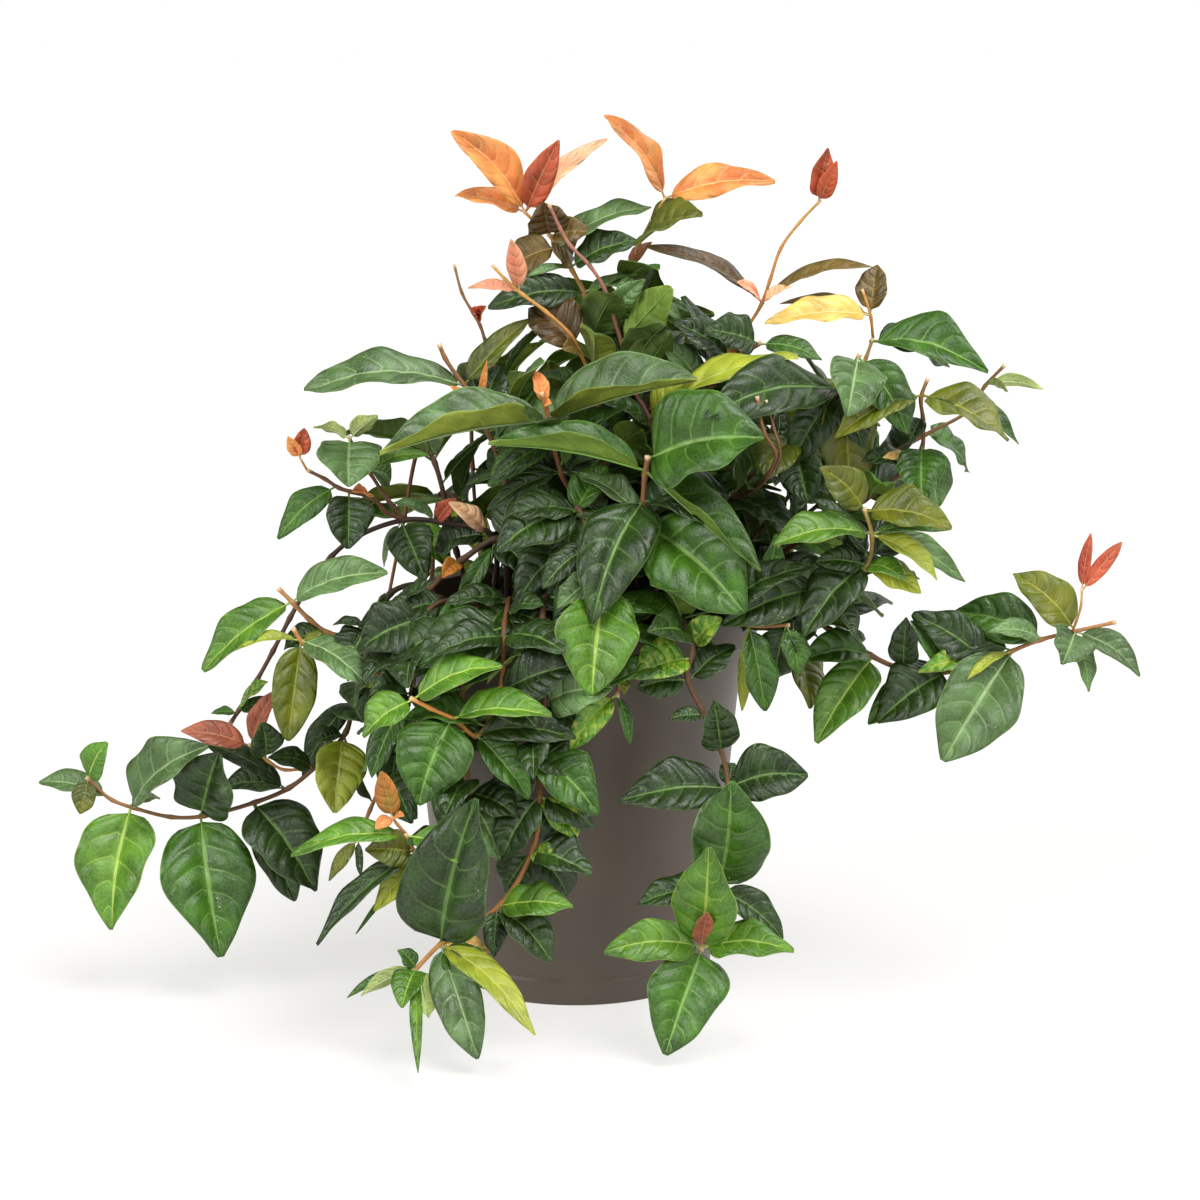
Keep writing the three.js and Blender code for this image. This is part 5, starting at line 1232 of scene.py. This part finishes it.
# The stems of the right side reach up and out, and the lowest runs level and is cut off at its end.
grow_stem(
    "stem_right_high", root=(54, -6), thick=2, thin=1.1,
    path=[
        (112, 210, 30), (144.5, 230, 36), (167, 247.5, 40), (173, 256, 41), (173.5, 270, 42),
        (172.5, 281, 43), (176, 291, 43),
    ],
    leaves=[
        (5, 216, 259.5, 66, 27, 0, 0.7, "olive"), (5, 129.5, 261, 64, 17, 0, 0.7, "olive"),
        (3, 173, 226.5, 62, 23, 0, 0.2, "mid"), (3, 181, 226.5, 46, 20, 0.2, 0.1, "dusty"),
        (4, 167, 259, 50, 9, 0, 0.3, "dark"), (5, 221.5, 258, 44, 14, 0, 0.8, "mid"),
        (2, 143.5, 250, 46, 12, 0, 0.3, "dark"), (2, 153.5, 251, 52, 6, 0, 0.3, "yellow"),
    ],
)
grow_stem(
    "stem_right_mid", root=(52, -30), thick=2, thin=1.2, bark=("#4a3824", "#a88a4a"),
    path=[(92, 185, 62), (122, 185, 72), (144.5, 196, 78), (148, 211.5, 80), (144, 226, 80)],
    leaves=[
        (4, 122, 246.5, 88, 18, 0, 0.2, "olive"), (4, 188, 216, 96, 17, 0, 0.9, "olive"),
        (3, 98.5, 207.5, 100, 20, 0, 0.5, "bright"), (2, 114, 162, 98, 26, 0, 0.2, "dark"),
        (1, 73, 167.5, 98, 22, 0, 0.4, "dark"), (3, 187, 215, 84, 9, 0, 0.6, "bright"),
        (3, 180.5, 190, 90, 13, 0, 0.6, "lime"), (3, 194.5, 189, 72, 12, 0.2, 0.5, "dusty"),
        (2, 164, 190, 96, 15, 0, 0.5, "bright"), (2, 172.5, 183.5, 84, 13, 0, 0.5, "lime"),
        (2, 120, 199, 84, 13, 0, 0.5, "dark"), (0, 83, 197, 70, 16, 0, 0.4, "dark"),
    ],
)
grow_stem(
    "stem_right_twig", root=(58, 18), thick=1.7, thin=1,
    path=[(137, 240, -8), (174.5, 262.5, -6), (197, 275, -4), (204.5, 287, -2), (214.5, 297.5, -2)],
    leaves=[
        (3, 216, 284, 8, 6, 0, 0.6, "pale"), (3, 233.5, 285, -6, 7, 0, 0.6, "pale"),
        (1, 152, 238, -34, 20, 0, 0.8, "dark"), (1, 196, 244, -28, 18, 0, 0.8, "mid"),
    ],
)
grow_stem(
    "stem_right_runner", root=(62, -17), thick=2.1, thin=1.2, bark=("#4a2e20", "#b07c48"),
    path=[
        (97, 186, 40), (127, 165, 48), (147, 152.5, 50), (162, 146, 50), (184.5, 144, 49), (204.5, 148, 48),
        (217, 154, 47), (232, 160, 46), (248, 164, 45), (270, 169, 44),
    ],
    leaves=[
        (6, 183.5, 99.5, 66, 38, 0, 0.1, "dusty"), (4, 150.5, 119, 66, 29, 0, 0.1, "dark"),
        (2, 120, 108.5, 76, 26, 0, 0.1, "bright"), (2, 113.5, 150, 74, 17, 0, 0.5, "mid"),
        (8, 218.5, 193, 36, 23, 0, 0.2, "olive"), (5, 168, 173, 44, 22, 0, 0.4, "dark"),
        (8, 243, 147.5, 60, 21, 0, 0.2, "dusty"), (8, 282, 142, 52, 14, 0, 0.5, "dusty"),
        (8, 256, 134, 52, 11, 0.2, 0.2, "dusty"), (5, 171, 144, 64, 12, 0, 0.4, "mottled"),
        (7, 206, 164, 56, 12, 0, 0.4, "dusty"), (6, 195.5, 140, 62, 6, 0, 0.4, "lime"),
        (4, 146, 118, 44, 18, 0, 0.2, "mid"), (4, 167, 169.5, 58, 16, 0, 0.3, "mid"),
        (3, 165, 171.5, 66, 15, 0, 0.3, "dark"), (5, 179.5, 162.5, 40, 12, 0, 0.5, "dark"),
    ],
    more=[(7, 189, 174, 30, 22, 0, 0.4, "mid"), (6, 172, 158, 34, 16, 0, 0.3, "dark")],
)
grow_stem(
    "stem_right_inner", root=(39, -20), thick=1.9, thin=1.2,
    path=[(77, 230, 28), (107, 260, 40), (131, 283.5, 44), (142, 303, 44)],
    leaves=[
        (2, 64, 271, 72, 27, 0, 0.6, "dark"), (3, 135.5, 271.5, 68, 26, 0, 0.1, "dusty"),
        (1, 116, 228.5, 60, 24, 0, 0.2, "dark"), (1, 94.5, 241, 70, 20, 0, 0.6, "olive"),
        (2, 128.5, 240, 40, 26, 0, 0.2, "dusty"), (2, 143.5, 256, 54, 17, 0, 0.3, "dark"),
        (0, 40, 236, 50, 20, 0, 0.4, "dark"), (0, 108, 214, 56, 22, 0.2, 0.4, "dark"),
    ],
    branches=[
        dict(
            start=0, thick=1.2,
            path=[(88, 236, 58), (96, 243, 74), (100, 253, 79), (94, 264, 80), (90.5, 282, 78)],
            leaves=[],
        ),
        dict(
            start=0, thick=0.9,
            path=[(86, 233, 58), (95, 240, 72), (102, 252, 77), (99, 266, 77), (95, 280, 76)],
            leaves=[],
        ),
    ],
    more=[
        (2, 136, 232, 44, 30, 0, 0.2, "olive"), (1, 122, 244, 46, 26, 0, 0.4, "olive"),
        (3, 166, 263, 56, 22, 0, 0.3, "mid"), (2, 108, 248, 52, 22, 0, 0.4, "dark"),
    ],
)


# The stems at the back are rooted behind the others. Each rises to a crest and hangs outwards, with its
# leaves in opposite pairs, each pair a quarter turn from the last.
back_stems = [
    (26, 66, 122, 250, 150), (42, 56, 108, 290, 190), (62, 40, 130, 240, 120), (82, 58, 112, 300, 200),
    (100, 38, 128, 255, 110), (121, 56, 109, 284, 180), (140, 44, 118, 235, 125), (160, 54, 108, 262, 165),
    (62, 28, 72, 325, 290),
]
back_shares = [0.14, 0.36, 0.58, 0.8, 1]
back_sway = 6
back_radii = (1.9, 1.1)
back_bark = (linear("#3f2a20"), linear("#8a5c36"))
back_leaf_length = 50
back_length_range = 0.5
back_turn_range = 0.8
back_least_lean = 0.3
back_trials = [
    (0, 1), (0.35, 1), (-0.35, 1), (0, 0.8), (0.7, 0.9), (-0.7, 0.9), (0.35, 0.75), (-0.35, 0.75),
    (1.05, 0.8), (-1.05, 0.8), (0, 0.62),
]
away_turn = math.radians(100)
back_tints = ["dark", "mid", "dark", "dusty", "mid", "bright", "olive"]
draw_factor = 16807
draw_range = 2147483647
draw_state = 20261


def draw():
    """The next of the even draws from 0 to 1 that the solids' back stems were drawn with too."""
    global draw_state
    draw_state = draw_state * draw_factor % draw_range
    return draw_state / draw_range


def back_path(row, number):
    """The joints of a back stem, over its crest and down to its end."""
    heading, root_distance, reach, crest, end = row
    path = []
    for share in back_shares:
        turn = math.radians(heading + back_sway * math.sin(5 * share + number))
        distance = root_distance + (reach - root_distance) * share
        low = soil_level if share < 0.5 else end
        up = low + (crest - low) * math.sin(math.pi * share)
        path.append(Vector((math.cos(turn) * distance, math.sin(turn) * distance, up)))
    return path


def add_back_leaf(maker, tree, base, tangent, turn, size, lean, rng):
    """The first trial that lies on the solid. In an open window it is turned away, or else left out."""
    for extra, scale in back_trials:
        turned = turn + extra
        tip, normal, width = outer_leaf(base, tangent, turned, size * scale, lean)
        if not on_solid(tree, tip, normal):
            continue
        if in_rounds(tip, open_windows):
            tip, normal, width = outer_leaf(base, tangent, turned + away_turn, size * scale, lean)
        if not in_rounds(tip, open_windows):
            add_leaf(maker, base, tip, normal, width, rng.choice(back_tints), rng)
            leaf_shapes.append(blade_shape(base, tip, normal, width))
        return


for number, row in enumerate(back_stems):
    node = f"stem_back_{number + 1}"
    rng = random.Random(node)
    maker = new_plant_maker()
    heading = math.radians(row[0])
    root = Vector((math.cos(heading) * row[1], math.sin(heading) * row[1], soil_level))
    path = back_path(row, number)
    route = [root - Vector((0, 0, root_depth)), root + Vector((0, 0, bare_foot))] + path
    line = grow_shoot(maker, route, path, *back_radii, *back_bark)
    tree = corner_tree(node)
    tangents = [tangent.normalized() for tangent in tangents_of(path)]
    for at in range(1, len(path)):
        base = leaf_base(path, at)
        for half in (0, math.pi):
            turn = half + (at % 2) * math.pi / 2 + (draw() - 0.5) * back_turn_range
            size = back_leaf_length * (1 + (draw() - 0.5) * back_length_range)
            lean = back_least_lean + draw()
            add_back_leaf(maker, tree, base, tangents[at], turn, size, lean, rng)
    open_plants.append((maker, node, line))


# The inner leaves are shaded and dark. They come last, to clear every leaf around them.
for maker, node, line in open_plants:
    add_inner_leaves(maker, line, random.Random(node + "_inner"))
    finish_plant(maker, node)


# Young tips are soft new shoots at the ends of the stems. Their leaves are thin, folded and copper or pink.
tip_bark = (linear("#b5763a"), linear("#cf9f4e"))


def grow_tip(name, start, radius, path, leaves, more=()):
    """A young tip that grows on from a joint: the joint's stem, shoot and number."""
    rng = random.Random(name)
    maker = new_plant_maker()
    parent, shoot, at = start
    path = [seen(*place) for place in path]
    route = [shoot_paths[parent][shoot][at]] + path
    grow_shoot(maker, route, path, radius, radius * shoot_thinning, *tip_bark)
    add_seen_leaves(maker, corner_tree(name), path, leaves, rng)
    add_seen_leaves(maker, None, path, more, rng)
    finish_plant(maker, name)


grow_tip(
    "tip_low_left", start=("stem_low_left", 0, 7), radius=0.9,
    path=[(-89, 67.5, 122), (-92.5, 72, 122)],
    leaves=[
        (1, -97.5, 94.5, 124, 11, 0, 0.2, "copper"), (1, -100.5, 65.5, 128, 6, 0, 0.6, "orange"),
        (1, -86, 72, 128, 4, 0, 0.6, "orange"),
    ],
)
grow_tip(
    "tip_left_red", start=("stem_left_runner", 0, 5), radius=1,
    path=[(-145.5, 95, 34), (-154, 99.5, 36), (-159, 104, 37), (-164, 108, 38)],
    leaves=[
        (3, -197.5, 114.5, 46, 12, 0, 0.6, "rust"), (3, -149, 135.5, 44, 9, -0.3, 0.2, "rust"),
        (1, -157, 119, 46, 16, 0.1, 0.1, "dark"),
    ],
)
grow_tip(
    "tip_left_bud", start=("stem_left_node", 2, 5), radius=0.8,
    path=[(-138, 251, 19)],
    leaves=[(0, -136, 266, 22, 9, 0.2, 0.1, "red"), (0, -144, 262, 24, 7, -0.3, 0.1, "orange")],
)
grow_tip(
    "tip_crown_left", start=("stem_crown_left", 0, 7), radius=1.1,
    path=[(-21, 369.5, -3), (-26.5, 375, -2)],
    leaves=[
        (1, -62, 414.5, 12, 19, 0.2, 0.2, "orange"), (1, -8.5, 410, 14, 14, 0.4, 0.2, "red"),
        (1, 15.5, 410.5, -20, 10, 0.4, 0.4, "peach"), (1, -60.5, 382, 6, 9, 0, 1.5, "orange"),
    ],
)
grow_tip(
    "tip_orange_pair", start=("stem_orange_pair", 0, 6), radius=0.9,
    path=[(44.5, 381, -14)],
    leaves=[(0, 13.5, 422, 0, 18, 0.3, 0.2, "orange"), (0, 99.5, 389.5, -4, 18, 0, 0.6, "orange")],
)
grow_tip(
    "tip_crown_right", start=("stem_crown_right", 0, 2), radius=1,
    path=[(92.5, 327.5, -5), (97, 340, -5), (102.5, 356, -5), (112, 369, -5), (122.5, 380, -5)],
    leaves=[
        (0, 35, 356.5, 8, 12, 0, 0.8, "brown"), (0, 148, 346.5, 6, 11, 0, 0.8, "bronze"),
        (0, 80.5, 339, 8, 8, 0, 0.3, "pink"), (0, 108, 336.5, 6, 6, 0, 0.2, "peach"),
        (4, 126, 406, 2, 12, 0.1, 0.1, "red"), (4, 130.5, 399.5, 8, 8, 0.4, 0.1, "red"),
    ],
)
grow_tip(
    "tip_yellow", start=("stem_yellow", 0, 4), radius=0.9,
    path=[(147.5, 321, 5), (145, 330, 5), (143, 335.5, 5)],
    leaves=[
        (0, 94.5, 318, 18, 17, 0, 0.5, "yellow"), (0, 150.5, 347.5, -4, 14, -0.4, 0.2, "bronze"),
        (0, 102, 328, -14, 8, 0, 0.6, "bronze"),
    ],
)
grow_tip(
    "tip_pink", start=("stem_crown_left", 0, 1), radius=1.2,
    path=[
        (6, 294, 14), (2, 304, 17), (-3, 313, 19), (-15.5, 324.5, 21), (-27, 333, 21), (-35, 340, 21),
        (-42, 347.5, 21),
    ],
    leaves=[
        (4, -32.5, 360.5, 28, 9, 0.2, 0.2, "pink"), (4, -54, 336, 26, 6, 0, 0.4, "pink"),
        (1, -7, 305.5, 26, 9, 0, 0.3, "bronze"),
    ],
    more=[(1, -23, 326, 4, 27, 0.1, 0.1, "brown")],
)
grow_tip(
    "tip_right_red", start=("stem_right_runner", 0, 8), radius=0.8,
    path=[(250, 169, 50), (252.5, 177, 54), (253, 186, 55)],
    leaves=[(2, 257.5, 213.5, 58, 6, -0.2, 0.1, "red"), (2, 273, 209, 58, 8, 0.2, 0.1, "red")],
)


# A plain pale floor, lit from within like a light table, under soft studio light: a large light above and
# to the right, weaker ones from the left, the front and behind, and an even white surround.
maker = bmesh.new()
bmesh.ops.create_grid(maker, x_segments=1, y_segments=1, size=14000)
floor = new_object("floor", maker)
pale_floor, shader, place = new_material("pale_floor", {
    "Base Color": linear("#8c8b8a"), "Roughness": 0.9,
    "Emission Color": linear("#fffefc"), "Emission Strength": 0.66,
})
floor.data.materials.append(pale_floor)

surround = bpy.data.worlds.new("surround")
surround.use_nodes = True
ray = add_node(surround, "ShaderNodeLightPath", {}).outputs["Is Camera Ray"]
glow = fitted(surround, ray, 0, 1, 0.22, 1)
connect(surround.node_tree.nodes["Background"], {"Color": (1, 1, 1, 1), "Strength": glow})
bpy.context.scene.world = surround
bpy.context.scene.view_settings.view_transform = "Standard"

soft_lights = [
    ("key_light", (0.4, -0.35, 1), 36, 2.9),
    ("left_light", (-1, -0.8, 0.75), 36, 1.9),
    ("front_light", (0.5, -1, 0.35), 40, 0.7),
    ("back_light", (0.7, 0.7, 0.6), 50, 1),
]
for name, place, width, strength in soft_lights:
    light = bpy.data.objects.new(name, bpy.data.lights.new(name, "SUN"))
    light.data.angle = math.radians(width)
    light.data.energy = strength
    light.location = place
    light.rotation_euler = Vector(place).to_track_quat("Z", "Y").to_euler()
    bpy.context.scene.collection.objects.link(light)
